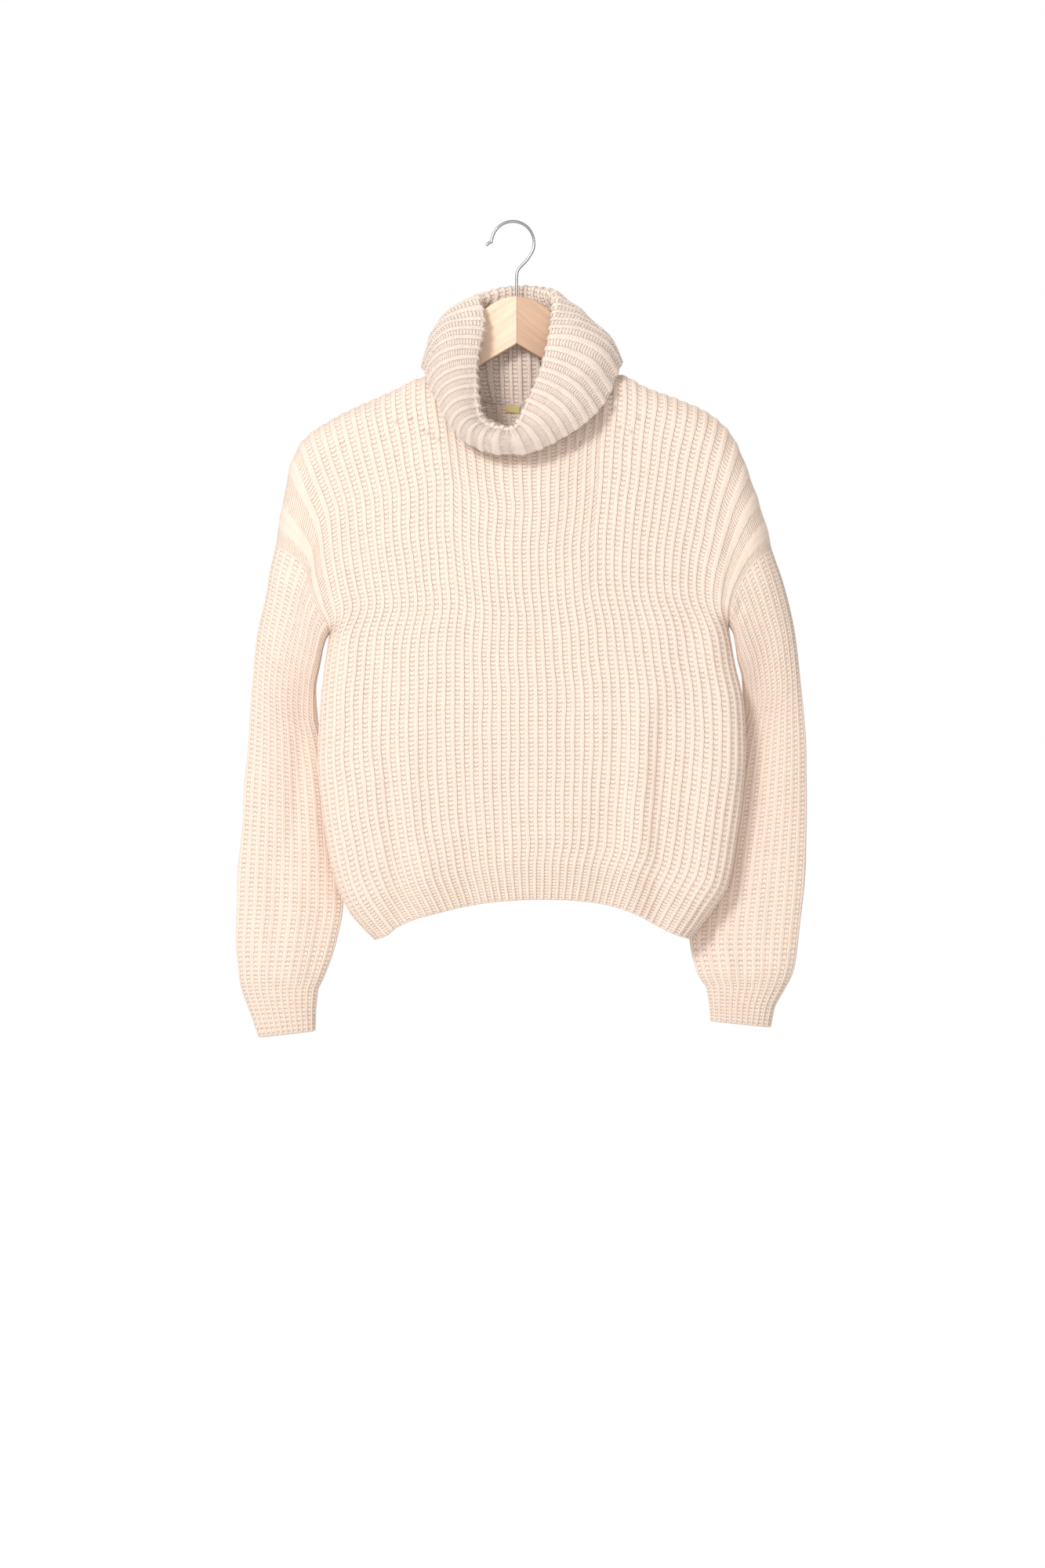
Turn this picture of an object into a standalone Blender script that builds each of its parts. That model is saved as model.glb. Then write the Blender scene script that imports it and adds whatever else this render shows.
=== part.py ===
"""Roll-neck sweater in chunky fisherman's rib on a two-piece wooden hanger with a wire hook.

Metres, +Z up, front of the garment towards -Y, +X to the right of someone facing it.
Origin: the inner top of the hook, where a rail bears.

The garment's outline is laid out on a front elevation whose grid unit is U metres, counted
right and down, as the elevation is seen from SIGHT metres away. Depths are in millimetres,
negative towards the front.
"""
import math

import bmesh
import bpy
import numpy as np
from mathutils import Vector

# ---------------------------------------------------------------- driving sizes
U = 0.00082                  # elevation grid unit, m
BEARING = (659.0, 285.0)     # elevation grid point of the origin
EYE = (666.5, 1000.0)        # grid point level with the eye
SIGHT = 4.0                  # m from the eye to the hook's plane
WALL = 0.004                 # knitted wall
SEAM = 0.0002                # each piece stops this far from its seam
ROUND = 24.0                 # mm, reach of the rounding at the tube's folds
CROWN = 0.25                 # share of its depth that the tube loses towards its sides
SWEEP = 0.050                # the arms and shoulders lean back this much per unit of width

T_HEM = 0.085                # level of the top of the hem rib
T_ARM = 0.58                 # level of the underarm

BOARD = 0.012                # hanger board thickness
BOARD_ROUND = 0.0030         # hanger edge rounding
BORE_R = 0.0019              # bore for the hook's shank
WIRE_R = 0.0015              # hook wire radius
HOOK_R = 27.2                # hook's bend, centreline radius, grid units

FOLD_R = 2.2                 # mm, half the space between the collar's two layers at its fold

# ---------------------------------------------------------------- outline tables
# (level, x, y): side seam from the hem up to the underarm, then the armhole seam up to the
# top of the shoulder
LEFT_EDGE = [
    (0.000, 478, 1198), (0.040, 463, 1183), (0.085, 445, 1162), (0.127, 431, 1132),
    (0.200, 418, 1080), (0.280, 410, 1023), (0.360, 405.5, 966), (0.440, 408, 909),
    (0.520, 414, 852), (0.580, 420, 809), (0.677, 407, 780), (0.767, 396, 753),
    (0.843, 391, 729), (0.879, 383, 717), (0.949, 366, 704), (1.000, 352, 695)]
RIGHT_EDGE = [
    (0.000, 880, 1197), (0.040, 894, 1180), (0.085, 911, 1158), (0.127, 929, 1128),
    (0.200, 939, 1075), (0.280, 947, 1017), (0.360, 951.5, 959), (0.440, 949, 901),
    (0.520, 936.5, 843), (0.580, 930, 799), (0.725, 937, 759), (0.796, 945.5, 741),
    (0.836, 951, 731), (0.905, 963, 716), (0.955, 974, 707), (1.000, 985, 702)]
# (x, y): hem, left to right
HEM = [(478, 1198), (491, 1193), (507, 1181), (524, 1173), (560, 1163), (598, 1154),
       (636, 1148.5), (690, 1146), (722, 1146.6), (761, 1150.4), (790, 1157), (818, 1168),
       (849, 1185), (866, 1192.5), (880, 1197)]
# (x, y): top of the shoulder from the armhole to the neck
LEFT_SHOULDER = [
    (352, 695), (353.5, 685), (355.5, 673), (358, 660), (361, 645), (363, 630), (366, 615),
    (369, 600), (374, 585), (381, 570), (394, 555), (416, 540), (443, 525), (477, 510),
    (509, 495), (531, 484), (545, 481), (558, 480)]
RIGHT_SHOULDER = [
    (773, 477), (786, 477.5), (799, 481), (823, 494), (866, 510), (900, 525), (920, 540),
    (933, 555), (941, 570), (948, 585), (953, 600), (959, 615), (964, 630), (969, 645),
    (974, 660), (978, 675), (982, 690), (985, 702)]
# (x, y): neck seam between the two shoulders
NECK_FRONT = [(558, 480), (567, 500), (581, 520), (602, 539), (632, 553), (665, 558),
              (700, 553), (730, 539), (750, 520), (764, 500), (773, 477)]
NECK_BACK = [(558, 480), (575, 497), (600, 509), (630, 515), (665, 517), (700, 515),
             (730, 508), (756, 495), (773, 477)]
# (x, y): how far the cloth reaches sideways between the underarm and the armhole's top
LEFT_REACH = [(408, 801), (388, 787), (364, 769), (346, 750), (345, 722), (352, 695)]
RIGHT_REACH = [(942, 791), (961, 778), (983, 761), (998, 740), (993, 718), (985, 702)]
# (y, middle, sweep, front, back): depth of the flattened tube, mm, and its lean per mm of width
DEPTH = [
    (440, 0, SWEEP, 15, 16), (480, 0, SWEEP, 16, 17), (520, 0, SWEEP, 21, 21),
    (560, 0, SWEEP, 26, 22), (650, 0, SWEEP, 32, 22), (730, -1, 0.045, 35, 21),
    (809, -2, 0.025, 37, 20), (880, -6, 0.000, 36, 18), (950, -8, -0.012, 34, 18),
    (1100, -8, -0.015, 30, 17), (1200, -7, -0.015, 27, 16)]
# (x0, y0, x1, y1, half width, height mm): soft vertical folds of the front, ridge +, trough -
FOLDS = [
    (512, 850, 548, 1165, 20, 5.0), (486, 900, 508, 1170, 13, -3.5),
    (588, 930, 600, 1155, 16, -3.0), (822, 800, 806, 1160, 19, 4.5),
    (850, 850, 838, 1165, 13, -3.0), (770, 930, 765, 1150, 15, -2.0)]
# (w, outer x, y, inner x, y, outer depth, inner depth, front half, back half)
LEFT_SLEEVE = [
    (0.00, 352, 695, 420, 809, 12.6, 2.9, 20, 20),
    (0.03, 348, 713, 414, 820, 12.3, 3.0, 19.5, 19.5),
    (0.06, 344, 731, 411, 830, 12, 3.0, 19, 19),
    (0.12, 338, 762, 408, 850, 11, 3.5, 17.5, 17.5),
    (0.20, 331, 800, 404, 880, 10, 7.0, 15.5, 16.5),
    (0.30, 324, 855, 405, 917, 9, 14, 13.5, 15),
    (0.40, 319, 915, 416, 957, 8, 17.5, 12, 14),
    (0.50, 314, 975, 426, 1003, 7, 18.5, 12, 13),
    (0.60, 309.5, 1035, 433, 1052, 6, 18.5, 12, 13),
    (0.70, 305, 1095, 438, 1103, 5, 18, 12, 13),
    (0.79, 302, 1148, 438.5, 1152, 4, 16, 13, 14),
    (0.88, 301, 1200, 429, 1200, 4, 11, 15, 15),
    (0.95, 303.5, 1242, 416, 1240, 4, 8, 15, 15),
    (1.00, 309, 1266, 406, 1262, 5, 7, 14, 14)]
RIGHT_SLEEVE = [
    (0.00, 985, 702, 930, 799, 13.0, 3.2, 20, 20),
    (0.03, 991, 719, 936, 810, 12.3, 3.2, 19.5, 19.5),
    (0.06, 997, 735, 939, 821, 12, 3.2, 19, 19),
    (0.12, 1005, 763, 942.5, 841, 11, 3.8, 17.5, 17.5),
    (0.20, 1012, 798, 948, 868, 10, 7.0, 15.5, 16.5),
    (0.30, 1019, 850, 947, 908, 9, 14, 13.5, 15),
    (0.40, 1025, 908, 930, 950, 8, 17.5, 12, 14),
    (0.50, 1029, 968, 915, 1000, 7, 18.5, 12, 13),
    (0.60, 1030, 1028, 904, 1050, 6, 18.5, 12, 13),
    (0.70, 1028.5, 1085, 893, 1102, 5, 18.5, 12, 13),
    (0.79, 1025, 1140, 885, 1152, 4, 18.5, 13, 14),
    (0.88, 1020, 1195, 879.5, 1197, 4, 15, 14, 15),
    (0.95, 1011, 1240, 890, 1241, 4, 9, 15, 15),
    (1.00, 1001, 1262, 900, 1258, 5, 7, 14, 14)]
LEFT_CUFF = [
    (0.0, 309, 1266, 406, 1262, 5, 7, 14, 14), (0.5, 319.5, 1291, 402.5, 1287, 5, 7, 13.5, 13.5),
    (1.0, 330.6, 1322, 401.4, 1313.6, 5, 7, 12.5, 12.5)]
RIGHT_CUFF = [
    (0.0, 1001, 1262, 900, 1258, 5, 7, 14, 14), (0.5, 987.5, 1285, 905.5, 1281, 5, 7, 13.5, 13.5),
    (1.0, 982.6, 1309, 907, 1301, 5, 7, 12.5, 12.5)]
# Roll collar, one row for each section round the neck. turn: 0 at the left shoulder, 6 at the
# front, 12 at the right shoulder, 18 at the back. fold and edge: grid x, y and depth of the
# fold and of the turned-down edge; stand, over: how far each layer bulges outwards, mm
COLLAR = [
    # turn  fold x, y, depth    edge x, y, depth   stand over
    (0.0,   607, 440, -24,      547, 473, -5,      13, 17),
    (1.3,   602, 468, -32,      553, 496, -20,      5, 12),
    (2.6,   603, 496, -37,      564, 518, -31,      2, 10),
    (3.7,   606, 521, -41,      578, 541, -39,      0,  9),
    (4.8,   615, 541, -43,      599, 563, -44,     -3,  9),
    (6.0,   640, 551, -45,      634, 576, -47,     -6,  9),
    (6.8,   660, 548, -45,      676, 573, -47,     -6,  9),
    (8.1,   677, 519, -41,      716, 557, -45,     -2, 10),
    (9.5,   692, 487, -36,      748, 535, -40,      2, 11),
    (10.8,  701, 456, -29,      771, 508, -26,      5, 12),
    (12.0,  706, 426, -22,      787, 470, -7,      12, 15),
    (13.45, 711, 402, -12,      788, 466, 12,      16, 14),
    (15.0,  709, 380,   4,      776, 488, 26,      15, 12),
    (16.5,  688, 375,  17,      735, 510, 36,       3,  6),
    (18.0,  660, 373,  19,      665, 520, 40,       0,  5),
    (19.4,  636, 375,  17,      597, 512, 36,       3,  6),
    (20.7,  612, 382,   6,      560, 490, 27,      19, 16),
    (21.5,  608, 385,  -6,      551, 478, 20,      22, 18),
    (22.4,  612, 407, -15,      545, 470, 11,      24, 20)]
COLLAR_MID = 665.0           # grid x of the neck's middle

# (distance from the centre, top y, bottom y): hanger arm
ARM = [(0, 378.4, 439.0), (16, 380.6, 448.2), (32, 388.8, 457.5), (46, 400.0, 465.5),
       (56, 419, 475), (68, 446, 492), (80, 471, 510), (92, 490, 524), (106, 500, 535),
       (125, 507, 543), (150, 514, 549), (182, 527, 558), (216, 541, 568), (240, 555, 576)]
ARM_TIP = 259.0              # centre to tip, grid units

LABEL = (0.015, 0.0068, 0.0008)   # width, height, thickness
LABEL_AT = (653.8, 522.5)         # grid point of its middle, under the back neck seam


# ---------------------------------------------------------------- helpers
def at(gx, gy, depth):
    """Point on the sight line of an elevation grid point, at a depth in mm."""
    depth = np.asarray(depth, float) * 0.001
    f = 1 + depth / SIGHT
    x = ((EYE[0] - BEARING[0]) + (np.asarray(gx, float) - EYE[0]) * f) * U
    z = ((BEARING[1] - EYE[1]) - (np.asarray(gy, float) - EYE[1]) * f) * U
    return np.stack(np.broadcast_arrays(x, depth, z), axis=-1)


def unit(v):
    return v / np.maximum(np.linalg.norm(v, axis=-1, keepdims=True), 1e-12)


def through(xs, ys, q):
    """Smooth curve through a table that never overshoots its rows."""
    x, y, q = np.asarray(xs, float), np.asarray(ys, float), np.asarray(q, float)
    h, d = np.diff(x), np.diff(y) / np.diff(x)
    m = np.empty_like(y)
    m[0], m[-1] = d[0], d[-1]
    same = d[:-1] * d[1:] > 0
    w1, w2 = 2 * h[1:] + h[:-1], h[1:] + 2 * h[:-1]
    safe = np.where(same, d[:-1], 1.0), np.where(same, d[1:], 1.0)
    m[1:-1] = np.where(same, (w1 + w2) / (w1 / safe[0] + w2 / safe[1]), 0.0)
    q = np.clip(q, x[0], x[-1])
    k = np.clip(np.searchsorted(x, q) - 1, 0, len(x) - 2)
    t = (q - x[k]) / h[k]
    return ((2 * t ** 3 - 3 * t ** 2 + 1) * y[k] + (t ** 3 - 2 * t ** 2 + t) * h[k] * m[k]
            + (3 * t ** 2 - 2 * t ** 3) * y[k + 1] + (t ** 3 - t ** 2) * h[k] * m[k + 1])


def ring_through(turns, points, q, period=24.0):
    """Smooth closed curve through points given at rising turns."""
    n = len(turns)
    x = np.concatenate([np.asarray(turns) - period, turns, np.asarray(turns) + period])
    p = np.concatenate([points, points, points])
    m = np.zeros_like(p)
    m[1:-1] = (p[2:] - p[:-2]) / (x[2:] - x[:-2])[:, None]
    q = np.asarray(q, float) % period
    k = np.searchsorted(x, q, side="right") - 1
    k = np.clip(k, n - 1, 2 * n)
    h = (x[k + 1] - x[k])[:, None]
    t = ((q - x[k]) / (x[k + 1] - x[k]))[:, None]
    return ((2 * t ** 3 - 3 * t ** 2 + 1) * p[k] + (t ** 3 - 2 * t ** 2 + t) * h * m[k]
            + (3 * t ** 2 - 2 * t ** 3) * p[k + 1] + (t ** 3 - t ** 2) * h * m[k + 1])


def smooth_step(v):
    v = np.clip(v, 0, 1)
    return v * v * (3 - 2 * v)


def column(rows, k):
    return [row[k] for row in rows]


# ---------------------------------------------------------------- the body tube
def outline():
    """The fold that the front and back share, as two chains of grid points."""
    chains = []
    for edge, reach, shoulder, top in ((LEFT_EDGE, LEFT_REACH, LEFT_SHOULDER, 0),
                                       (RIGHT_EDGE, RIGHT_REACH, RIGHT_SHOULDER[::-1], 1)):
        t = np.linspace(0, T_ARM, 60)
        side = np.stack([through(column(edge, 0), column(edge, k), t) for k in (1, 2)], axis=-1)
        x = np.linspace(shoulder[0][0], shoulder[-1][0], 90)
        rows = sorted(shoulder)
        over = np.stack([x, through(column(rows, 0), column(rows, 1), x)], axis=-1)
        chains.append(np.concatenate([side, np.array(reach[:-1], float), over]))
    return chains


CHAINS = outline()


def from_outline(gx, gy):
    """Distance in mm from grid points to the fold."""
    p = np.stack([gx, gy], axis=-1)
    best = np.full(gx.shape, 1e9)
    for chain in CHAINS:
        for a, b in zip(chain[:-1], chain[1:]):
            ab = b - a
            f = np.clip(((p - a) @ ab) / (ab @ ab), 0, 1)
            d = np.linalg.norm(p - a - f[..., None] * ab, axis=-1)
            best = np.minimum(best, d)
    return np.maximum(best * U * 1000 - 0.1, 0)


def soft_folds(gx, gy):
    rise = np.zeros(np.broadcast(gx, gy).shape)
    for x0, y0, x1, y1, width, height in FOLDS:
        f = (gy - y0) / (y1 - y0)
        middle = x0 + (x1 - x0) * f
        rise = rise + height * np.exp(-((gx - middle) / width) ** 2) * smooth_step(f / 0.55)
    return rise


def body_depth(side, gx, gy):
    """Depth of the front or back cloth's outer face, mm."""
    y, ys = gy, column(DEPTH, 0)
    across = np.abs(gx - BEARING[0]) * U * 1000
    middle = through(ys, column(DEPTH, 1), y) + through(ys, column(DEPTH, 2), y) * across
    rounding = 1 - np.clip(from_outline(gx, gy) / ROUND, 0, 1)
    edge = np.sqrt(np.maximum(1 - rounding ** 2, 0)) * (1 - CROWN * (across / 250) ** 2)
    if side == "front":
        return middle - through(ys, column(DEPTH, 3), y) * edge - soft_folds(gx, gy) * edge
    return middle + through(ys, column(DEPTH, 4), y) * edge


def top_line(side, gx):
    neck = NECK_FRONT if side == "front" else NECK_BACK
    rows = LEFT_SHOULDER[:-1] + neck + RIGHT_SHOULDER[1:]
    left, right = LEFT_SHOULDER[-1][0], RIGHT_SHOULDER[0][0]
    out = through(column(LEFT_SHOULDER, 0), column(LEFT_SHOULDER, 1), gx)
    out = np.where(gx > left, through(column(neck, 0), column(neck, 1), gx), out)
    return np.where(gx > right, through(column(RIGHT_SHOULDER, 0), column(RIGHT_SHOULDER, 1), gx), out)


def level_line(side, t, q):
    """Grid points of one level of a panel at fractions q of its width."""
    lx, ly = (through(column(LEFT_EDGE, 0), column(LEFT_EDGE, k), t) for k in (1, 2))
    rx, ry = (through(column(RIGHT_EDGE, 0), column(RIGHT_EDGE, k), t) for k in (1, 2))
    gx = lx + (rx - lx) * q
    hx = HEM[0][0] + (HEM[-1][0] - HEM[0][0]) * q
    hem = through(column(HEM, 0), column(HEM, 1), hx)
    if side == "back":
        hem = hem - 16 * q * (1 - q)
    x0, x1 = LEFT_SHOULDER[0][0], RIGHT_SHOULDER[-1][0]
    top = top_line(side, x0 + (x1 - x0) * q)
    left_off = ly - ((1 - t) * HEM[0][1] + t * LEFT_SHOULDER[0][1])
    right_off = ry - ((1 - t) * HEM[-1][1] + t * RIGHT_SHOULDER[-1][1])
    gy = (1 - t) * hem + t * top + (1 - q) ** 3 * left_off + q ** 3 * right_off
    return gx, gy


def panel(side, levels, shares):
    """Outer face of a panel: grid of points, a row for each level, shares of the girth along it."""
    q = np.linspace(0, 1, 241)
    rows = []
    for t in levels:
        gx, gy = level_line(side, t, q)
        p = at(gx, gy, body_depth(side, gx, gy))
        run = np.concatenate([[0], np.cumsum(np.hypot(np.diff(p[:, 0]), np.diff(p[:, 1])))])
        pick = np.interp(np.asarray(shares) * run[-1], run, q)
        gx, gy = level_line(side, t, pick)
        rows.append(at(gx, gy, body_depth(side, gx, gy)))
    return np.array(rows)


def neck_shares(side):
    """Shares of the top level at which the neck seam starts and ends."""
    q = np.linspace(0, 1, 241)
    gx, gy = level_line(side, 1.0, q)
    p = at(gx, gy, body_depth(side, gx, gy))
    run = np.concatenate([[0], np.cumsum(np.hypot(np.diff(p[:, 0]), np.diff(p[:, 1])))])
    return [float(np.interp(x, gx, run) / run[-1]) for x in (LEFT_SHOULDER[-1][0], RIGHT_SHOULDER[0][0])]


# ---------------------------------------------------------------- the sleeves
def sleeve(name, rows, levels, along, start=None):
    """Outer face of a sleeve or cuff: a closed ring for each station along it. The ring's points
    follow the armhole's levels: down its front from the top to the underarm, then up its back."""
    share = 0 if name == "left" else 1
    fine = np.linspace(1.0, T_ARM, 43)
    down = list(levels)[::-1]
    fractions = {}
    loops = []
    for side in ("front", "back"):
        seam = panel(side, fine, [share])[:, 0]
        run = np.concatenate([[0], np.cumsum(np.linalg.norm(np.diff(seam, axis=0), axis=1))])
        fractions[side] = np.interp(-np.array(down), -fine, run / run[-1])
        loops.append(panel(side, down, [share])[:, 0])
    hole = np.concatenate([loops[0], loops[1][::-1][1:-1]])
    share_in = np.concatenate([fractions["front"], fractions["back"][::-1][1:-1]])
    front = np.arange(len(share_in)) < len(down)

    def section(w):
        c = [float(through(column(rows, 0), column(rows, k), w)) for k in range(1, 9)]
        u = -np.cos(np.linspace(0, math.pi, 401))
        bow = (1 - np.abs(u) ** 2.3) ** (1 / 2.3)
        width = math.hypot(c[2] - c[0], c[3] - c[1]) * U * 1000
        out = np.zeros((len(share_in), 3))
        for half, sign, mask in ((c[6], -1, front), (c[7], 1, ~front)):
            run = np.concatenate([[0], np.cumsum(np.hypot(np.diff(u) * width / 2, np.diff(bow) * half))])
            h = (np.interp(share_in * run[-1], run, u) + 1) / 2
            b = np.interp(share_in * run[-1], run, bow)
            p = at(c[0] + (c[2] - c[0]) * h, c[1] + (c[3] - c[1]) * h,
                   c[4] + (c[5] - c[4]) * h + sign * half * b)
            out[mask] = p[mask]
        return out

    first = section(0.0)
    rings = []
    for w in along:
        ring = section(w)
        if start == "armhole":
            ring = ring + (hole - first) * (1 - smooth_step(w / 0.32))
        rings.append(ring)
    return np.array(rings)


# ---------------------------------------------------------------- the collar
def neck_ring(turns, shares):
    """Neck seam points for the collar's stations: front from left to right, then back again."""
    front = panel("front", [1.0], shares["front"])[0]
    back = panel("back", [1.0], shares["back"])[0]
    return np.concatenate([front, back[::-1][1:-1]])


def collar(turns, seam, steps=(5, 4, 6)):
    """Face of the knit that looks outwards on the stand and inwards on the turned-down layer."""
    rows_turn = np.array(column(COLLAR, 0))
    fold = at(column(COLLAR, 1), column(COLLAR, 2), column(COLLAR, 3))
    edge = at(column(COLLAR, 4), column(COLLAR, 5), column(COLLAR, 6))
    base = np.stack([np.interp(rows_turn, list(turns) + [24.0], np.append(seam[:, k], seam[0, k]))
                     for k in range(3)], axis=-1)
    middle = at(COLLAR_MID, 470, 0)

    def bulge(a, b, amount):
        mid = (a + b) / 2
        out = (mid - middle) * [1, 1, 0]
        out = unit(np.where(np.abs(amount)[:, None] > 0, out, out))
        run = unit(b - a)
        normal = out - (out * run).sum(1, keepdims=True) * run
        return mid + unit(normal) * amount[:, None] * 0.001

    inner = bulge(base, fold, np.array(column(COLLAR, 7), float))
    over = bulge(fold, edge, np.array(column(COLLAR, 8), float))
    inner[np.array(column(COLLAR, 7)) < 0, 2] = (base + fold)[np.array(column(COLLAR, 7)) < 0, 2] / 2 + 0.004
    inner, over, fold, edge = (ring_through(rows_turn, p, turns) for p in (inner, over, fold, edge))
    up = unit(unit(fold - inner) + unit(fold - over))
    apart = over - inner
    apart = unit(apart - (apart * up).sum(1, keepdims=True) * up)
    r = FOLD_R * 0.001
    near, far = fold - apart * r, fold + apart * r
    lines = []
    n1, n2, n3 = steps
    for f in np.arange(n1) / n1:                      # stand, from the neck seam to the fold
        c = 2 * inner - (seam + near) / 2
        lines.append((1 - f) ** 2 * seam + 2 * f * (1 - f) * c + f * f * near)
    for f in np.arange(n2) / n2:                      # over the fold
        a = math.pi * f
        lines.append(fold - apart * r * math.cos(a) + up * r * math.sin(a))
    for f in np.arange(n3 + 1) / n3:                  # turned-down layer
        c = 2 * over - (far + edge) / 2
        lines.append((1 - f) ** 2 * far + 2 * f * (1 - f) * c + f * f * edge)
    return np.array(lines)


# ---------------------------------------------------------------- walls from faces
class Face:
    """One piece's outer face: points and quads, before it gets its wall."""

    def __init__(self, name, grid, closed=False, flip=False):
        self.name, self.grid, self.closed = name, grid, closed
        rows, cols = grid.shape[:2]
        self.points = grid.reshape(-1, 3)
        quads = []
        for i in range(rows - 1):
            for j in range(cols if closed else cols - 1):
                k = (j + 1) % cols
                quad = [i * cols + j, i * cols + k, (i + 1) * cols + k, (i + 1) * cols + j]
                quads.append(quad[::-1] if flip else quad)
        self.quads = np.array(quads)


def shared_normals(faces, creases):
    """One normal for each point, shared by the pieces that meet there: the mean of the normals
    that the body, a sleeve and the collar each have at it. In a crease each keeps its own."""
    total = {}
    keys = []
    owners = []
    for face in faces:
        tube = "sleeve" if face.name[:5] in ("sleev", "cuff_") else "collar" if "collar" in face.name else "body"
        owners.append(tube)
        p = face.points
        q = p[face.quads]
        key = [tuple(k) for k in np.round(p * 1e5).astype(int)]
        keys.append(key)
        for c in range(4):           # each corner counts by its angle
            a = unit(q[:, (c + 1) % 4] - q[:, c])
            b = unit(q[:, c - 1] - q[:, c])
            angle = np.arccos(np.clip((a * b).sum(1), -1, 1))[:, None]
            for v, n in zip(face.quads[:, c], unit(np.cross(a, b)) * angle):
                tubes = total.setdefault(key[v], {})
                tubes[tube] = tubes.get(tube, 0) + n
    mean = {k: unit(sum(unit(n) for n in tubes.values())) for k, tubes in total.items()}
    return [np.array([unit(total[k][tube]) if k in creases else mean[k] for k in key])
            for key, tube in zip(keys, owners)]


def wall_mesh(face, normals, wall):
    """Closed wall: the outer face, stepped back from its seams, and its copy one wall inside."""
    p, quads = face.points.copy(), face.quads
    edges = {}
    for quad in quads:
        for a, b in zip(quad, np.roll(quad, -1)):
            edges[(int(a), int(b))] = quad
    rim = [(a, b) for (a, b) in edges if (b, a) not in edges]
    push = {}
    for a, b in rim:
        n = unit(normals[a] + normals[b])
        inward = unit(np.cross(n, p[b] - p[a]))
        for v in (a, b):
            push.setdefault(v, []).append(inward)
    for v, ways in push.items():
        if len(ways) == 2:
            total = (ways[0] + ways[1]) / (1 + float(ways[0] @ ways[1]))
        else:
            total = ways[0]
        p[v] = p[v] + total * SEAM
    inner = p - normals * wall
    n = len(p)
    both = np.concatenate([p, inner])

    def halves(quad):
        """Two triangles across the quad's shorter diagonal."""
        a, b, c, d = quad
        if np.linalg.norm(face.points[a % n] - face.points[c % n]) <= np.linalg.norm(
                face.points[b % n] - face.points[d % n]):
            return [[a, b, c], [a, c, d]]
        return [[a, b, d], [b, c, d]]

    faces = []
    for q in quads:
        for tri in halves([int(v) for v in q]):
            faces += [tri, [v + n for v in tri[::-1]]]
    for a, b in rim:                 # both pieces of a seam split its rim the same way
        first = tuple(face.points[a].round(6)) < tuple(face.points[b].round(6))
        faces += [[b, a, a + n], [b, a + n, b + n]] if first else [[b, a, b + n], [a, a + n, b + n]]
    return both, faces


def new_object(name, mesh, material, group):
    obj = bpy.data.objects.new(name, mesh)
    group.objects.link(obj)
    mesh.materials.append(material)
    return obj


def material(name, colour, roughness, metallic=0.0):
    m = bpy.data.materials.new(name)
    m.use_nodes = True
    node = m.node_tree.nodes["Principled BSDF"]
    node.inputs["Base Color"].default_value = (*colour, 1)
    node.inputs["Roughness"].default_value = roughness
    node.inputs["Metallic"].default_value = metallic
    return m


# ---------------------------------------------------------------- build
for obj in list(bpy.data.objects):
    bpy.data.objects.remove(obj, do_unlink=True)

group = bpy.data.collections.new("roll_neck_sweater_on_hanger")
bpy.context.scene.collection.children.link(group)
cutters = bpy.data.collections.new("cutters")
bpy.context.scene.collection.children.link(cutters)

knit = material("cream_knit", (0.93, 0.83, 0.71), 0.9)
rib = material("cream_rib", (0.92, 0.82, 0.70), 0.9)
collar_knit = material("cream_collar", (0.88, 0.80, 0.72), 0.9)
woven = material("label_woven", (0.80, 0.62, 0.25), 0.7)
wood_light = material("beech_light", (0.90, 0.68, 0.45), 0.5)
wood_dark = material("beech_dark", (0.74, 0.46, 0.26), 0.5)
chrome = material("chrome_wire", (0.75, 0.75, 0.76), 0.15, 1.0)

# shares of the girth: shoulder, neck, shoulder
ends = {side: neck_shares(side) for side in ("front", "back")}
SHOULDER_STEPS = (0.0, 0.10, 0.23, 0.39, 0.58, 0.79)
NECK_STEPS = 12
shares = {}
for side, (n0, n1) in ends.items():
    left = [n0 * f for f in SHOULDER_STEPS]
    neck = [n0 + (n1 - n0) * k / NECK_STEPS for k in range(NECK_STEPS + 1)]
    right = [1 - (1 - n1) * f for f in SHOULDER_STEPS[::-1]]
    shares[side] = np.array(left + neck + right)

arm_levels = [T_ARM, 0.59, 0.625, 0.677, 0.727, 0.775, 0.823, 0.866, 0.905, 0.949, 1.0]
low_levels = [T_HEM, 0.14, 0.20, 0.27, 0.345, 0.42, 0.50]
hem_levels = [0.0, T_HEM / 2, T_HEM]

faces = []
walls = {}
grids = {side: panel(side, low_levels + arm_levels, shares[side]) for side in ("front", "back")}
for part in (slice(0, len(SHOULDER_STEPS) + 1), slice(-len(SHOULDER_STEPS) - 1, None)):
    grids["back"][-1, part] = grids["front"][-1, part]      # one shoulder seam
for side, flip in (("front", False), ("back", True)):
    faces.append(Face(f"{side}_panel", grids[side], flip=flip))
    faces.append(Face(f"hem_rib_{side}", panel(side, hem_levels, shares[side]), flip=flip))

along = [0.0, 0.035, 0.075, 0.12, 0.18, 0.25, 0.33, 0.42, 0.51, 0.60, 0.69, 0.78, 0.86, 0.93, 1.0]
for name, rows, cuff_rows, flip in (("left", LEFT_SLEEVE, LEFT_CUFF, True),
                                    ("right", RIGHT_SLEEVE, RIGHT_CUFF, False)):
    faces.append(Face(f"sleeve_{name}", sleeve(name, rows, arm_levels, along, "armhole"),
                      closed=True, flip=flip))
    faces.append(Face(f"cuff_{name}", sleeve(name, cuff_rows, arm_levels, [0.0, 0.33, 0.66, 1.0]),
                      closed=True, flip=flip))

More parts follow.
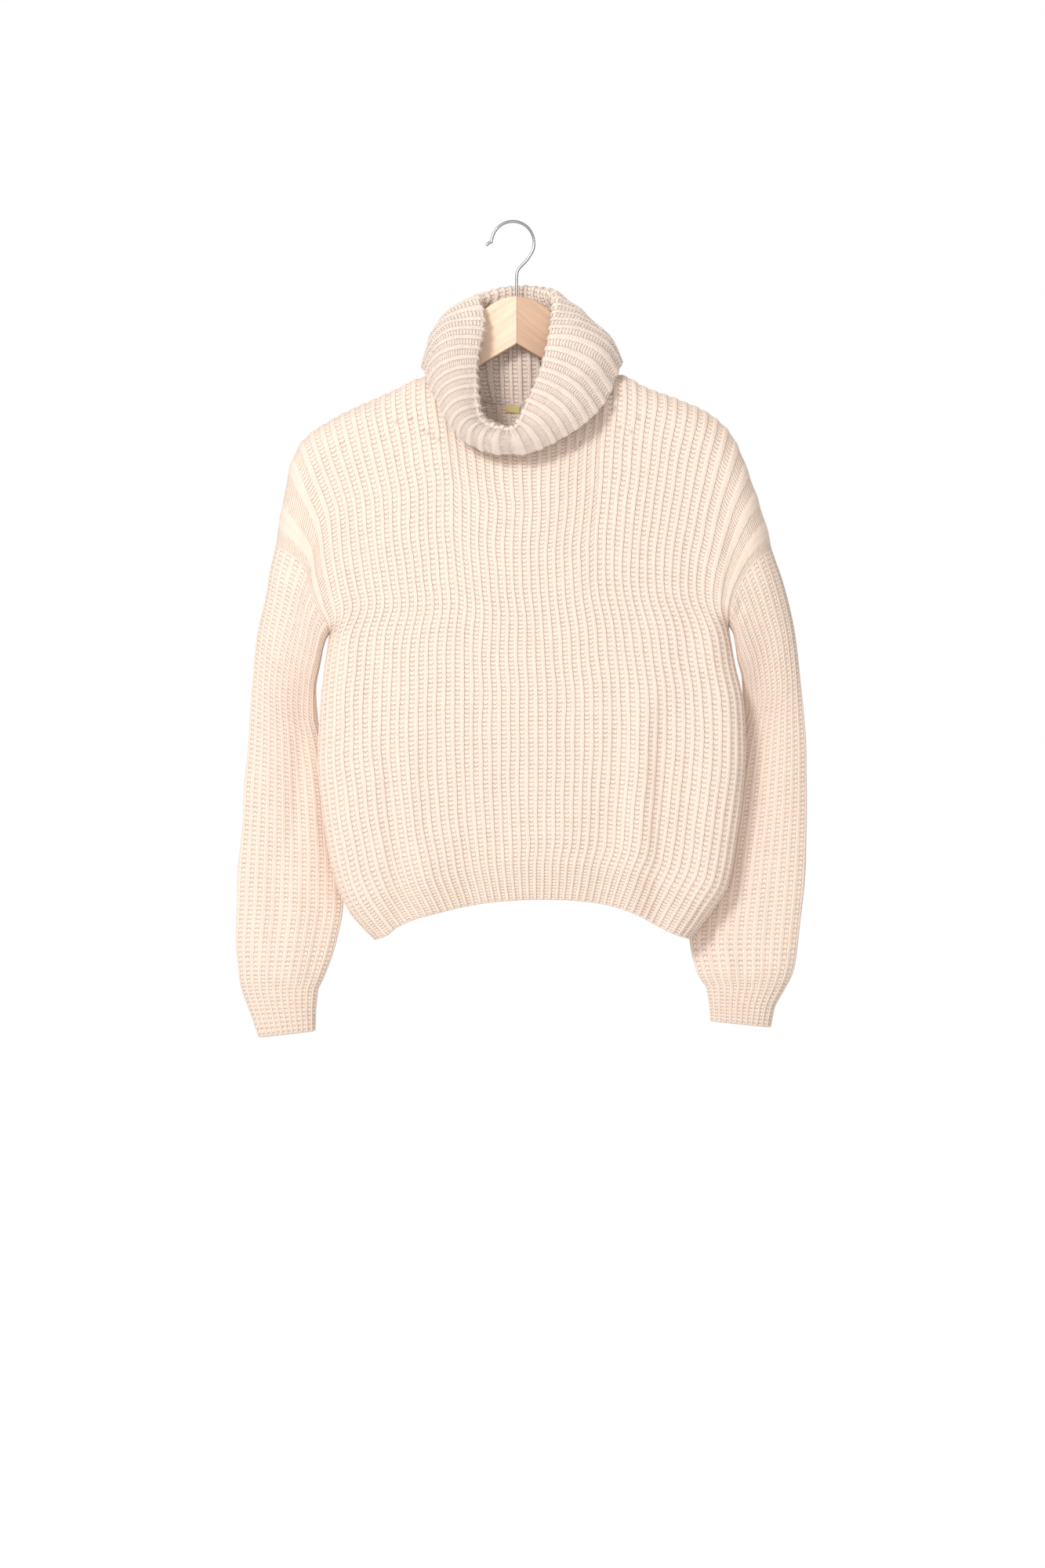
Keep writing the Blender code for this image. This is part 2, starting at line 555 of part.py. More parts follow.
turns = np.arange(2 * NECK_STEPS) * 12.0 / NECK_STEPS
neck_shares_only = {side: s[len(SHOULDER_STEPS):-len(SHOULDER_STEPS)] for side, s in shares.items()}
seam_points = neck_ring(turns, neck_shares_only)
faces.append(Face("roll_collar", collar(turns, seam_points), closed=True))

# the underarm, where body and sleeve meet in a deep crease
creases = {tuple(np.round(grids[side][len(low_levels), column_at] * 1e5).astype(int))
           for side in ("front", "back") for column_at in (0, -1)}

normals = shared_normals(faces, creases)
for face, normal in zip(faces, normals):
    points, polygons = wall_mesh(face, normal, WALL)
    mesh = bpy.data.meshes.new(face.name)
    mesh.from_pydata(points.tolist(), [], polygons)
    mesh.update()
    mesh.shade_smooth()
    mesh.set_sharp_from_angle(angle=math.radians(50))
    look = collar_knit if "collar" in face.name else rib if ("rib" in face.name or "cuff" in face.name) else knit
    new_object(face.name, mesh, look, group)
    walls[face.name] = (face, normal)

# bare label, made from the points of the back panel's inner face that carry it
back, back_normals = walls["back_panel"]
inner = (back.points - back_normals * WALL).reshape(back.grid.shape)
target = at(LABEL_AT[0], LABEL_AT[1], body_depth("back", np.array(LABEL_AT[0]), np.array(LABEL_AT[1])))
row = len(low_levels + arm_levels) - 2
cell = int(np.argmin(np.abs(inner[row + 1, :-1, 0] / 2 + inner[row + 1, 1:, 0] / 2 - target[0])))
corners = inner[row:row + 2, cell:cell + 2]
flat = unit(np.cross(corners[1, 1] - corners[0, 0], corners[1, 0] - corners[0, 1]))
flat = flat if flat[1] < 0 else -flat
sideways = unit(corners[1, 1] - corners[1, 0] + corners[0, 1] - corners[0, 0])
downwards = np.cross(flat, sideways)
downwards = downwards if downwards[2] < 0 else -downwards
centre = corners.reshape(4, 3).mean(axis=0)
centre = centre + sideways * ((target - centre) @ sideways) + downwards * ((target - centre) @ downwards)
bm = bmesh.new()
bmesh.ops.create_cube(bm, size=1.0)
for v in bm.verts:
    x, y, z = v.co
    p = (centre + sideways * x * LABEL[0] + downwards * y * LABEL[1]
         + flat * (0.0012 + (z + 0.5) * LABEL[2]))
    v.co = p
bm.normal_update()
if sum(f.normal.dot(f.calc_center_median() - Vector(centre)) for f in bm.faces) < 0:
    bmesh.ops.reverse_faces(bm, faces=bm.faces)
mesh = bpy.data.meshes.new("neck_label")
bm.to_mesh(mesh)
bm.free()
new_object("neck_label", mesh, woven, group)


# hanger: two boards from one outline, glued at the centre seam, leaning back from it
def arm_outline(steps=30):
    d = np.linspace(0, ARM[-1][0], steps)
    top = through(column(ARM, 0), column(ARM, 1), d)
    bottom = through(column(ARM, 0), column(ARM, 2), d)
    mid, half = (top[-1] + bottom[-1]) / 2, (bottom[-1] - top[-1]) / 2
    tip = []
    for a in np.radians([60, 30, 0, -30, -60]):
        tip.append((d[-1] + (ARM_TIP - d[-1]) * math.cos(a), mid - half * math.sin(a) + 5 * math.cos(a)))
    return list(zip(d, top)) + tip + list(zip(d, bottom))[::-1]


bore_top = -((ARM[0][1] - BEARING[1]) * U)
bpy.ops.mesh.primitive_cylinder_add(vertices=20, radius=BORE_R, depth=0.030,
                                    location=(0, 0, bore_top - 0.009))
bore = bpy.context.object
bore.name = "bore_cutter"
for c in list(bore.users_collection):
    c.objects.unlink(bore)
cutters.objects.link(bore)
bore.hide_render = True
bore.display_type = "WIRE"

for name, hand, look in (("left", -1, wood_light), ("right", 1, wood_dark)):
    curve = bpy.data.curves.new(f"outline_{name}", "CURVE")
    curve.dimensions = "2D"
    curve.fill_mode = "BOTH"
    curve.extrude = BOARD / 2
    spline = curve.splines.new("POLY")
    points = [(hand * (d * U + 0.00015), (BEARING[1] - y) * U) for d, y in arm_outline()]
    spline.points.add(len(points) - 1)
    for p, (x, z) in zip(spline.points, points):
        p.co = (x, z, 0, 1)
    spline.use_cyclic_u = True
    holder = bpy.data.objects.new("outline", curve)
    group.objects.link(holder)
    bpy.context.view_layer.update()
    mesh = bpy.data.meshes.new_from_object(holder.evaluated_get(bpy.context.evaluated_depsgraph_get()))
    bpy.data.objects.remove(holder)
    bm = bmesh.new()
    bm.from_mesh(mesh)
    bmesh.ops.remove_doubles(bm, verts=bm.verts, dist=0.00001)
    rim = [e for e in bm.edges if len(e.link_faces) == 2
           and abs(e.verts[0].co.z - e.verts[1].co.z) < 1e-6
           and not all(abs(v.co.x) < 0.0004 for v in e.verts)
           and any(abs(f.normal.z) < 0.5 for f in e.link_faces)]
    bmesh.ops.bevel(bm, geom=rim, offset=BOARD_ROUND, segments=3, profile=0.5, affect="EDGES",
                    clamp_overlap=True)
    for v in bm.verts:
        x, z, y = v.co
        v.co = (x, -y + SWEEP * abs(x), z)
    bm.normal_update()
    bmesh.ops.triangulate(bm, faces=[f for f in bm.faces if len(f.verts) > 4])
    bmesh.ops.recalc_face_normals(bm, faces=bm.faces)
    bm.to_mesh(mesh)
    bm.free()
    mesh.name = f"hanger_arm_{name}"
    mesh.shade_smooth()
    mesh.set_sharp_from_angle(angle=math.radians(40))
    mesh.materials.clear()
    arm = new_object(f"hanger_arm_{name}", mesh, look, group)
    cut = arm.modifiers.new("bore", "BOOLEAN")
    cut.operation = "DIFFERENCE"
    cut.solver = "EXACT"
    cut.object = bore

# hook: one wire, flared tip, round bend, straight run to the shank in its bore
centre = (654.2, 309.6)
path = [(620.4, 312.9), (623.0, 310.4)]
for a in np.radians(np.linspace(176, -38, 22)):
    path.append((centre[0] + HOOK_R * math.cos(a), centre[1] - HOOK_R * math.sin(a)))
path += [(671.0, 333.2), (665.8, 338.7), (661.4, 343.0), (659.5, 347.0), (659.0, 352.0),
         (659.0, 362.0), (659.0, 374.0), (659.0, 386.0), (659.0, 398.0)]
curve = bpy.data.curves.new("hanger_hook", "CURVE")
curve.dimensions = "3D"
curve.bevel_depth = WIRE_R
curve.bevel_resolution = 2
curve.use_fill_caps = True
spline = curve.splines.new("POLY")
spline.points.add(len(path) - 1)
for p, (gx, gy) in zip(spline.points, path):
    x, y, z = at(gx, gy, 0)
    p.co = (x, y, z, 1)
curve.materials.append(chrome)
hook = bpy.data.objects.new("hanger_hook", curve)
group.objects.link(hook)
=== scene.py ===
"""Looks of the roll-neck sweater on its hanger: knitted pieces, finishes, light and camera."""
import math

import bpy
import numpy as np
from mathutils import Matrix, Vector


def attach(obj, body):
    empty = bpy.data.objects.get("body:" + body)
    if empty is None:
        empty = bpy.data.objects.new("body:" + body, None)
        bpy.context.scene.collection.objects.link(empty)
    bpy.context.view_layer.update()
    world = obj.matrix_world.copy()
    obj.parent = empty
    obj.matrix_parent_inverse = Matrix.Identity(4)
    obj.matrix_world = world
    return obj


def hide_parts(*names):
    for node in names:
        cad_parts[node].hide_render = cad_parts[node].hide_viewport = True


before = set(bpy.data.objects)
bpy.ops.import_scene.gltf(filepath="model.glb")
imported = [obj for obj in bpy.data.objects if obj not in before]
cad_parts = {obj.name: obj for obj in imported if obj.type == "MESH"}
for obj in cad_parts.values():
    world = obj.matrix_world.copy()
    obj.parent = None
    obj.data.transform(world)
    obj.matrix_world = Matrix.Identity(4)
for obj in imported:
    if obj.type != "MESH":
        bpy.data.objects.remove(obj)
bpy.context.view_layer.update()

# ---------------------------------------------------------------- driving sizes, as in the CAD
U = 0.00082                  # elevation grid unit, m
BEARING = (659.0, 285.0)     # elevation grid point of the origin
EYE = (666.5, 1000.0)        # grid point level with the eye
SIGHT = 4.0                  # m from the eye to the hook's plane
WALL = 0.004                 # knitted wall
SEAM = 0.0002                # each piece stops this far from its seam
ROUND = 24.0                 # mm, reach of the rounding at the tube's folds
CROWN = 0.25                 # share of its depth that the tube loses towards its sides
SWEEP = 0.050                # the arms and shoulders lean back this much per unit of width

T_HEM = 0.085                # level of the top of the hem rib
T_ARM = 0.58                 # level of the underarm

WIRE_R = 0.0015              # hook wire radius
HOOK_R = 27.2                # hook's bend, centreline radius, grid units

FOLD_R = 2.2                 # mm, half the space between the collar's two layers at its fold

# ---------------------------------------------------------------- outline tables
# (level, x, y): side seam from the hem up to the underarm, then the armhole seam up to the
# top of the shoulder
LEFT_EDGE = [
    (0.000, 478, 1198), (0.040, 463, 1183), (0.085, 445, 1162), (0.127, 431, 1132),
    (0.200, 418, 1080), (0.280, 410, 1023), (0.360, 405.5, 966), (0.440, 408, 909),
    (0.520, 414, 852), (0.580, 420, 809), (0.677, 407, 780), (0.767, 396, 753),
    (0.843, 391, 729), (0.879, 383, 717), (0.949, 366, 704), (1.000, 352, 695)]
RIGHT_EDGE = [
    (0.000, 880, 1197), (0.040, 894, 1180), (0.085, 911, 1158), (0.127, 929, 1128),
    (0.200, 939, 1075), (0.280, 947, 1017), (0.360, 951.5, 959), (0.440, 949, 901),
    (0.520, 936.5, 843), (0.580, 930, 799), (0.725, 937, 759), (0.796, 945.5, 741),
    (0.836, 951, 731), (0.905, 963, 716), (0.955, 974, 707), (1.000, 985, 702)]
# (x, y): hem, left to right
HEM = [(478, 1198), (491, 1193), (507, 1181), (524, 1173), (560, 1163), (598, 1154),
       (636, 1148.5), (690, 1146), (722, 1146.6), (761, 1150.4), (790, 1157), (818, 1168),
       (849, 1185), (866, 1192.5), (880, 1197)]
# (x, y): top of the shoulder from the armhole to the neck
LEFT_SHOULDER = [
    (352, 695), (353.5, 685), (355.5, 673), (358, 660), (361, 645), (363, 630), (366, 615),
    (369, 600), (374, 585), (381, 570), (394, 555), (416, 540), (443, 525), (477, 510),
    (509, 495), (531, 484), (545, 481), (558, 480)]
RIGHT_SHOULDER = [
    (773, 477), (786, 477.5), (799, 481), (823, 494), (866, 510), (900, 525), (920, 540),
    (933, 555), (941, 570), (948, 585), (953, 600), (959, 615), (964, 630), (969, 645),
    (974, 660), (978, 675), (982, 690), (985, 702)]
# (x, y): neck seam between the two shoulders
NECK_FRONT = [(558, 480), (567, 500), (581, 520), (602, 539), (632, 553), (665, 558),
              (700, 553), (730, 539), (750, 520), (764, 500), (773, 477)]
NECK_BACK = [(558, 480), (575, 497), (600, 509), (630, 515), (665, 517), (700, 515),
             (730, 508), (756, 495), (773, 477)]
# (x, y): how far the cloth reaches sideways between the underarm and the armhole's top
LEFT_REACH = [(408, 801), (388, 787), (364, 769), (346, 750), (345, 722), (352, 695)]
RIGHT_REACH = [(942, 791), (961, 778), (983, 761), (998, 740), (993, 718), (985, 702)]
# (y, middle, sweep, front, back): depth of the flattened tube, mm, and its lean per mm of width
DEPTH = [
    (440, 0, SWEEP, 15, 16), (480, 0, SWEEP, 16, 17), (520, 0, SWEEP, 21, 21),
    (560, 0, SWEEP, 26, 22), (650, 0, SWEEP, 32, 22), (730, -1, 0.045, 35, 21),
    (809, -2, 0.025, 37, 20), (880, -6, 0.000, 36, 18), (950, -8, -0.012, 34, 18),
    (1100, -8, -0.015, 30, 17), (1200, -7, -0.015, 27, 16)]
# (x0, y0, x1, y1, half width, height mm): soft vertical folds of the front, ridge +, trough -
FOLDS = [
    (512, 850, 548, 1165, 20, 5.0), (486, 900, 508, 1170, 13, -3.5),
    (588, 930, 600, 1155, 16, -3.0), (822, 800, 806, 1160, 19, 4.5),
    (850, 850, 838, 1165, 13, -3.0), (770, 930, 765, 1150, 15, -2.0)]
# (w, outer x, y, inner x, y, outer depth, inner depth, front half, back half)
LEFT_SLEEVE = [
    (0.00, 352, 695, 420, 809, 12.6, 2.9, 20, 20),
    (0.03, 348, 713, 414, 820, 12.3, 3.0, 19.5, 19.5),
    (0.06, 344, 731, 411, 830, 12, 3.0, 19, 19),
    (0.12, 338, 762, 408, 850, 11, 3.5, 17.5, 17.5),
    (0.20, 331, 800, 404, 880, 10, 7.0, 15.5, 16.5),
    (0.30, 324, 855, 405, 917, 9, 14, 13.5, 15),
    (0.40, 319, 915, 416, 957, 8, 17.5, 12, 14),
    (0.50, 314, 975, 426, 1003, 7, 18.5, 12, 13),
    (0.60, 309.5, 1035, 433, 1052, 6, 18.5, 12, 13),
    (0.70, 305, 1095, 438, 1103, 5, 18, 12, 13),
    (0.79, 302, 1148, 438.5, 1152, 4, 16, 13, 14),
    (0.88, 301, 1200, 429, 1200, 4, 11, 15, 15),
    (0.95, 303.5, 1242, 416, 1240, 4, 8, 15, 15),
    (1.00, 309, 1266, 406, 1262, 5, 7, 14, 14)]
RIGHT_SLEEVE = [
    (0.00, 985, 702, 930, 799, 13.0, 3.2, 20, 20),
    (0.03, 991, 719, 936, 810, 12.3, 3.2, 19.5, 19.5),
    (0.06, 997, 735, 939, 821, 12, 3.2, 19, 19),
    (0.12, 1005, 763, 942.5, 841, 11, 3.8, 17.5, 17.5),
    (0.20, 1012, 798, 948, 868, 10, 7.0, 15.5, 16.5),
    (0.30, 1019, 850, 947, 908, 9, 14, 13.5, 15),
    (0.40, 1025, 908, 930, 950, 8, 17.5, 12, 14),
    (0.50, 1029, 968, 915, 1000, 7, 18.5, 12, 13),
    (0.60, 1030, 1028, 904, 1050, 6, 18.5, 12, 13),
    (0.70, 1028.5, 1085, 893, 1102, 5, 18.5, 12, 13),
    (0.79, 1025, 1140, 885, 1152, 4, 18.5, 13, 14),
    (0.88, 1020, 1195, 879.5, 1197, 4, 15, 14, 15),
    (0.95, 1011, 1240, 890, 1241, 4, 9, 15, 15),
    (1.00, 1001, 1262, 900, 1258, 5, 7, 14, 14)]
LEFT_CUFF = [
    (0.0, 309, 1266, 406, 1262, 5, 7, 14, 14), (0.5, 319.5, 1291, 402.5, 1287, 5, 7, 13.5, 13.5),
    (1.0, 330.6, 1322, 401.4, 1313.6, 5, 7, 12.5, 12.5)]
RIGHT_CUFF = [
    (0.0, 1001, 1262, 900, 1258, 5, 7, 14, 14), (0.5, 987.5, 1285, 905.5, 1281, 5, 7, 13.5, 13.5),
    (1.0, 982.6, 1309, 907, 1301, 5, 7, 12.5, 12.5)]
# Roll collar, one row for each section round the neck. turn: 0 at the left shoulder, 6 at the
# front, 12 at the right shoulder, 18 at the back. fold and edge: grid x, y and depth of the
# fold and of the turned-down edge; stand, over: how far each layer bulges outwards, mm
COLLAR = [
    # turn  fold x, y, depth    edge x, y, depth   stand over
    (0.0,   607, 440, -24,      547, 473, -5,      13, 17),
    (1.3,   602, 468, -32,      553, 496, -20,      5, 12),
    (2.6,   603, 496, -37,      564, 518, -31,      2, 10),
    (3.7,   606, 521, -41,      578, 541, -39,      0,  9),
    (4.8,   615, 541, -43,      599, 563, -44,     -3,  9),
    (6.0,   640, 551, -45,      634, 576, -47,     -6,  9),
    (6.8,   660, 548, -45,      676, 573, -47,     -6,  9),
    (8.1,   677, 519, -41,      716, 557, -45,     -2, 10),
    (9.5,   692, 487, -36,      748, 535, -40,      2, 11),
    (10.8,  701, 456, -29,      771, 508, -26,      5, 12),
    (12.0,  706, 426, -22,      787, 470, -7,      12, 15),
    (13.45, 711, 402, -12,      788, 466, 12,      16, 14),
    (15.0,  709, 380,   4,      776, 488, 26,      15, 12),
    (16.5,  688, 375,  17,      735, 510, 36,       3,  6),
    (18.0,  660, 373,  19,      665, 520, 40,       0,  5),
    (19.4,  636, 375,  17,      597, 512, 36,       3,  6),
    (20.7,  612, 382,   6,      560, 490, 27,      19, 16),
    (21.5,  608, 385,  -6,      551, 478, 20,      22, 18),
    (22.4,  612, 407, -15,      545, 470, 11,      24, 20)]
COLLAR_MID = 665.0           # grid x of the neck's middle


# ---------------------------------------------------------------- helpers
def at(gx, gy, depth):
    """Point on the sight line of an elevation grid point, at a depth in mm."""
    depth = np.asarray(depth, float) * 0.001
    f = 1 + depth / SIGHT
    x = ((EYE[0] - BEARING[0]) + (np.asarray(gx, float) - EYE[0]) * f) * U
    z = ((BEARING[1] - EYE[1]) - (np.asarray(gy, float) - EYE[1]) * f) * U
    return np.stack(np.broadcast_arrays(x, depth, z), axis=-1)


def unit(v):
    return v / np.maximum(np.linalg.norm(v, axis=-1, keepdims=True), 1e-12)


def through(xs, ys, q):
    """Smooth curve through a table that never overshoots its rows."""
    x, y, q = np.asarray(xs, float), np.asarray(ys, float), np.asarray(q, float)
    h, d = np.diff(x), np.diff(y) / np.diff(x)
    m = np.empty_like(y)
    m[0], m[-1] = d[0], d[-1]
    same = d[:-1] * d[1:] > 0
    w1, w2 = 2 * h[1:] + h[:-1], h[1:] + 2 * h[:-1]
    safe = np.where(same, d[:-1], 1.0), np.where(same, d[1:], 1.0)
    m[1:-1] = np.where(same, (w1 + w2) / (w1 / safe[0] + w2 / safe[1]), 0.0)
    q = np.clip(q, x[0], x[-1])
    k = np.clip(np.searchsorted(x, q) - 1, 0, len(x) - 2)
    t = (q - x[k]) / h[k]
    return ((2 * t ** 3 - 3 * t ** 2 + 1) * y[k] + (t ** 3 - 2 * t ** 2 + t) * h[k] * m[k]
            + (3 * t ** 2 - 2 * t ** 3) * y[k + 1] + (t ** 3 - t ** 2) * h[k] * m[k + 1])


def ring_through(turns, points, q, period=24.0):
    """Smooth closed curve through points given at rising turns."""
    n = len(turns)
    x = np.concatenate([np.asarray(turns) - period, turns, np.asarray(turns) + period])
    p = np.concatenate([points, points, points])
    m = np.zeros_like(p)
    m[1:-1] = (p[2:] - p[:-2]) / (x[2:] - x[:-2])[:, None]
    q = np.asarray(q, float) % period
    k = np.searchsorted(x, q, side="right") - 1
    k = np.clip(k, n - 1, 2 * n)
    h = (x[k + 1] - x[k])[:, None]
    t = ((q - x[k]) / (x[k + 1] - x[k]))[:, None]
    return ((2 * t ** 3 - 3 * t ** 2 + 1) * p[k] + (t ** 3 - 2 * t ** 2 + t) * h * m[k]
            + (3 * t ** 2 - 2 * t ** 3) * p[k + 1] + (t ** 3 - t ** 2) * h * m[k + 1])


def smooth_step(v):
    v = np.clip(v, 0, 1)
    return v * v * (3 - 2 * v)


def column(rows, k):
    return [row[k] for row in rows]


# ---------------------------------------------------------------- the body tube
ROW_TOP = 556.0              # grid height that the rows of stitches flatten towards


def outline():
    """The fold that the front and back share, as two chains of grid points."""
    chains = []
    for edge, reach, shoulder, top in ((LEFT_EDGE, LEFT_REACH, LEFT_SHOULDER, 0),
                                       (RIGHT_EDGE, RIGHT_REACH, RIGHT_SHOULDER[::-1], 1)):
        t = np.linspace(0, T_ARM, 60)
        side = np.stack([through(column(edge, 0), column(edge, k), t) for k in (1, 2)], axis=-1)
        x = np.linspace(shoulder[0][0], shoulder[-1][0], 90)
        rows = sorted(shoulder)
        over = np.stack([x, through(column(rows, 0), column(rows, 1), x)], axis=-1)
        chains.append(np.concatenate([side, np.array(reach[:-1], float), over]))
    return chains


CHAINS = outline()
SEG_A = np.concatenate([chain[:-1] for chain in CHAINS])
SEG_D = np.concatenate([np.diff(chain, axis=0) for chain in CHAINS])


def from_outline(gx, gy):
    """Distance in mm from grid points to the fold."""
    p = np.stack([np.ravel(gx), np.ravel(gy)], axis=-1)[:, None]
    f = np.clip(((p - SEG_A) * SEG_D).sum(-1) / (SEG_D * SEG_D).sum(-1), 0, 1)
    d = np.sqrt((((p - SEG_A) - f[..., None] * SEG_D) ** 2).sum(-1)).min(axis=1)
    return np.maximum(d.reshape(np.shape(gx)) * U * 1000 - 0.1, 0)


def soft_folds(gx, gy):
    rise = np.zeros(np.broadcast(gx, gy).shape)
    for x0, y0, x1, y1, width, height in FOLDS:
        f = (gy - y0) / (y1 - y0)
        middle = x0 + (x1 - x0) * f
        rise = rise + height * np.exp(-((gx - middle) / width) ** 2) * smooth_step(f / 0.55)
    return rise


def body_depth(side, gx, gy):
    """Depth of the front or back cloth's outer face, mm."""
    y, ys = gy, column(DEPTH, 0)
    across = np.abs(gx - BEARING[0]) * U * 1000
    middle = through(ys, column(DEPTH, 1), y) + through(ys, column(DEPTH, 2), y) * across
    rounding = 1 - np.clip(from_outline(gx, gy) / ROUND, 0, 1)
    edge = np.sqrt(np.maximum(1 - rounding ** 2, 0)) * (1 - CROWN * (across / 250) ** 2)
    if side == "front":
        return middle - through(ys, column(DEPTH, 3), y) * edge - soft_folds(gx, gy) * edge
    return middle + through(ys, column(DEPTH, 4), y) * edge


def top_line(side, gx):
    neck = NECK_FRONT if side == "front" else NECK_BACK
    rows = LEFT_SHOULDER[:-1] + neck + RIGHT_SHOULDER[1:]
    left, right = LEFT_SHOULDER[-1][0], RIGHT_SHOULDER[0][0]
    out = through(column(LEFT_SHOULDER, 0), column(LEFT_SHOULDER, 1), gx)
    out = np.where(gx > left, through(column(neck, 0), column(neck, 1), gx), out)
    return np.where(gx > right, through(column(RIGHT_SHOULDER, 0), column(RIGHT_SHOULDER, 1), gx), out)


def level_line(side, t, q):
    """Grid points of one level of a panel at fractions q of its width."""
    lx, ly = (through(column(LEFT_EDGE, 0), column(LEFT_EDGE, k), t) for k in (1, 2))
    rx, ry = (through(column(RIGHT_EDGE, 0), column(RIGHT_EDGE, k), t) for k in (1, 2))
    gx = lx + (rx - lx) * q
    hx = HEM[0][0] + (HEM[-1][0] - HEM[0][0]) * q
    hem = through(column(HEM, 0), column(HEM, 1), hx)
    if side == "back":
        hem = hem - 16 * q * (1 - q)
    x0, x1 = LEFT_SHOULDER[0][0], RIGHT_SHOULDER[-1][0]
    top = top_line(side, x0 + (x1 - x0) * q)
    share = t ** 4
    base = (1 - t) * hem + t * ROW_TOP + (top - ROW_TOP) * share
    left_base = (1 - t) * HEM[0][1] + t * ROW_TOP + (LEFT_SHOULDER[0][1] - ROW_TOP) * share
    right_base = (1 - t) * HEM[-1][1] + t * ROW_TOP + (RIGHT_SHOULDER[-1][1] - ROW_TOP) * share
    gy = base + (1 - q) ** 3 * (ly - left_base) + q ** 3 * (ry - right_base)
    return gx, gy


def panel(side, levels, shares):
    """Outer face of a panel: grid of points, a row for each level, shares of the girth along it."""
    q = np.linspace(0, 1, 241)
    picks = []
    for t in levels:
        gx, gy = level_line(side, t, q)
        p = at(gx, gy, body_depth(side, gx, gy))
        run = np.concatenate([[0], np.cumsum(np.hypot(np.diff(p[:, 0]), np.diff(p[:, 1])))])
        picks.append(np.interp(np.asarray(shares) * run[-1], run, q))
    picks = np.array(picks)
    if len(levels) > 60 and picks.shape[1] > 1:       # rib lines run smoothly from row to row
        reach = 16
        weight = np.exp(-np.linspace(-2.2, 2.2, 2 * reach + 1) ** 2)
        padded = np.concatenate([np.repeat(picks[:1], reach, 0), picks, np.repeat(picks[-1:], reach, 0)])
        picks = sum(w * padded[k:k + len(picks)] for k, w in enumerate(weight)) / weight.sum()
    rows = []
    for t, pick in zip(levels, picks):
        gx, gy = level_line(side, t, pick)
        rows.append(at(gx, gy, body_depth(side, gx, gy)))
    return np.array(rows)


def neck_shares(side):
    """Shares of the top level at which the neck seam starts and ends."""
    q = np.linspace(0, 1, 241)
    gx, gy = level_line(side, 1.0, q)
    p = at(gx, gy, body_depth(side, gx, gy))
    run = np.concatenate([[0], np.cumsum(np.hypot(np.diff(p[:, 0]), np.diff(p[:, 1])))])
    return [float(np.interp(x, gx, run) / run[-1]) for x in (LEFT_SHOULDER[-1][0], RIGHT_SHOULDER[0][0])]


# ---------------------------------------------------------------- the sleeves
def even_levels(share, n):
    """Levels that space n + 1 points evenly along each side's armhole, from the top down."""
    fine = np.linspace(1.0, T_ARM, 61)
    levels = {}
    for side in ("front", "back"):
        seam = panel(side, fine, [share])[:, 0]
        run = np.concatenate([[0], np.cumsum(np.linalg.norm(np.diff(seam, axis=0), axis=1))])
        levels[side] = np.interp(np.linspace(0, 1, n + 1), run / run[-1], fine)
    return levels


def sleeve(rows, share, n, along, start=None):
    """Outer face of a sleeve or cuff: a ring of 2n points for each station along it, down its
    front from the top to the underarm, then up its back."""
    loops = []
    if start == "armhole":
        levels = even_levels(share, n)
        loops = [panel(side, levels[side], [share])[:, 0] for side in ("front", "back")]
        hole = np.concatenate([loops[0], loops[1][::-1][1:-1]])
    even = np.linspace(0, 1, n + 1)
    share_in = np.concatenate([even, even[::-1][1:-1]])
    front = np.arange(2 * n) <= n

    def section(w):
        c = [float(through(column(rows, 0), column(rows, k), w)) for k in range(1, 9)]
        u = -np.cos(np.linspace(0, math.pi, 401))
        bow = (1 - np.abs(u) ** 2.3) ** (1 / 2.3)
        width = math.hypot(c[2] - c[0], c[3] - c[1]) * U * 1000
        out = np.zeros((len(share_in), 3))
        for half, sign, mask in ((c[6], -1, front), (c[7], 1, ~front)):
            run = np.concatenate([[0], np.cumsum(np.hypot(np.diff(u) * width / 2, np.diff(bow) * half))])
            h = (np.interp(share_in * run[-1], run, u) + 1) / 2
            b = np.interp(share_in * run[-1], run, bow)
            p = at(c[0] + (c[2] - c[0]) * h, c[1] + (c[3] - c[1]) * h,
                   c[4] + (c[5] - c[4]) * h + sign * half * b)
            out[mask] = p[mask]
        return out

    first = section(0.0)
    rings = []
    for w in along:
        ring = section(w)
        if start == "armhole":
            ring = ring + (hole - first) * (1 - smooth_step(w / 0.32))
        rings.append(ring)
    return np.array(rings)


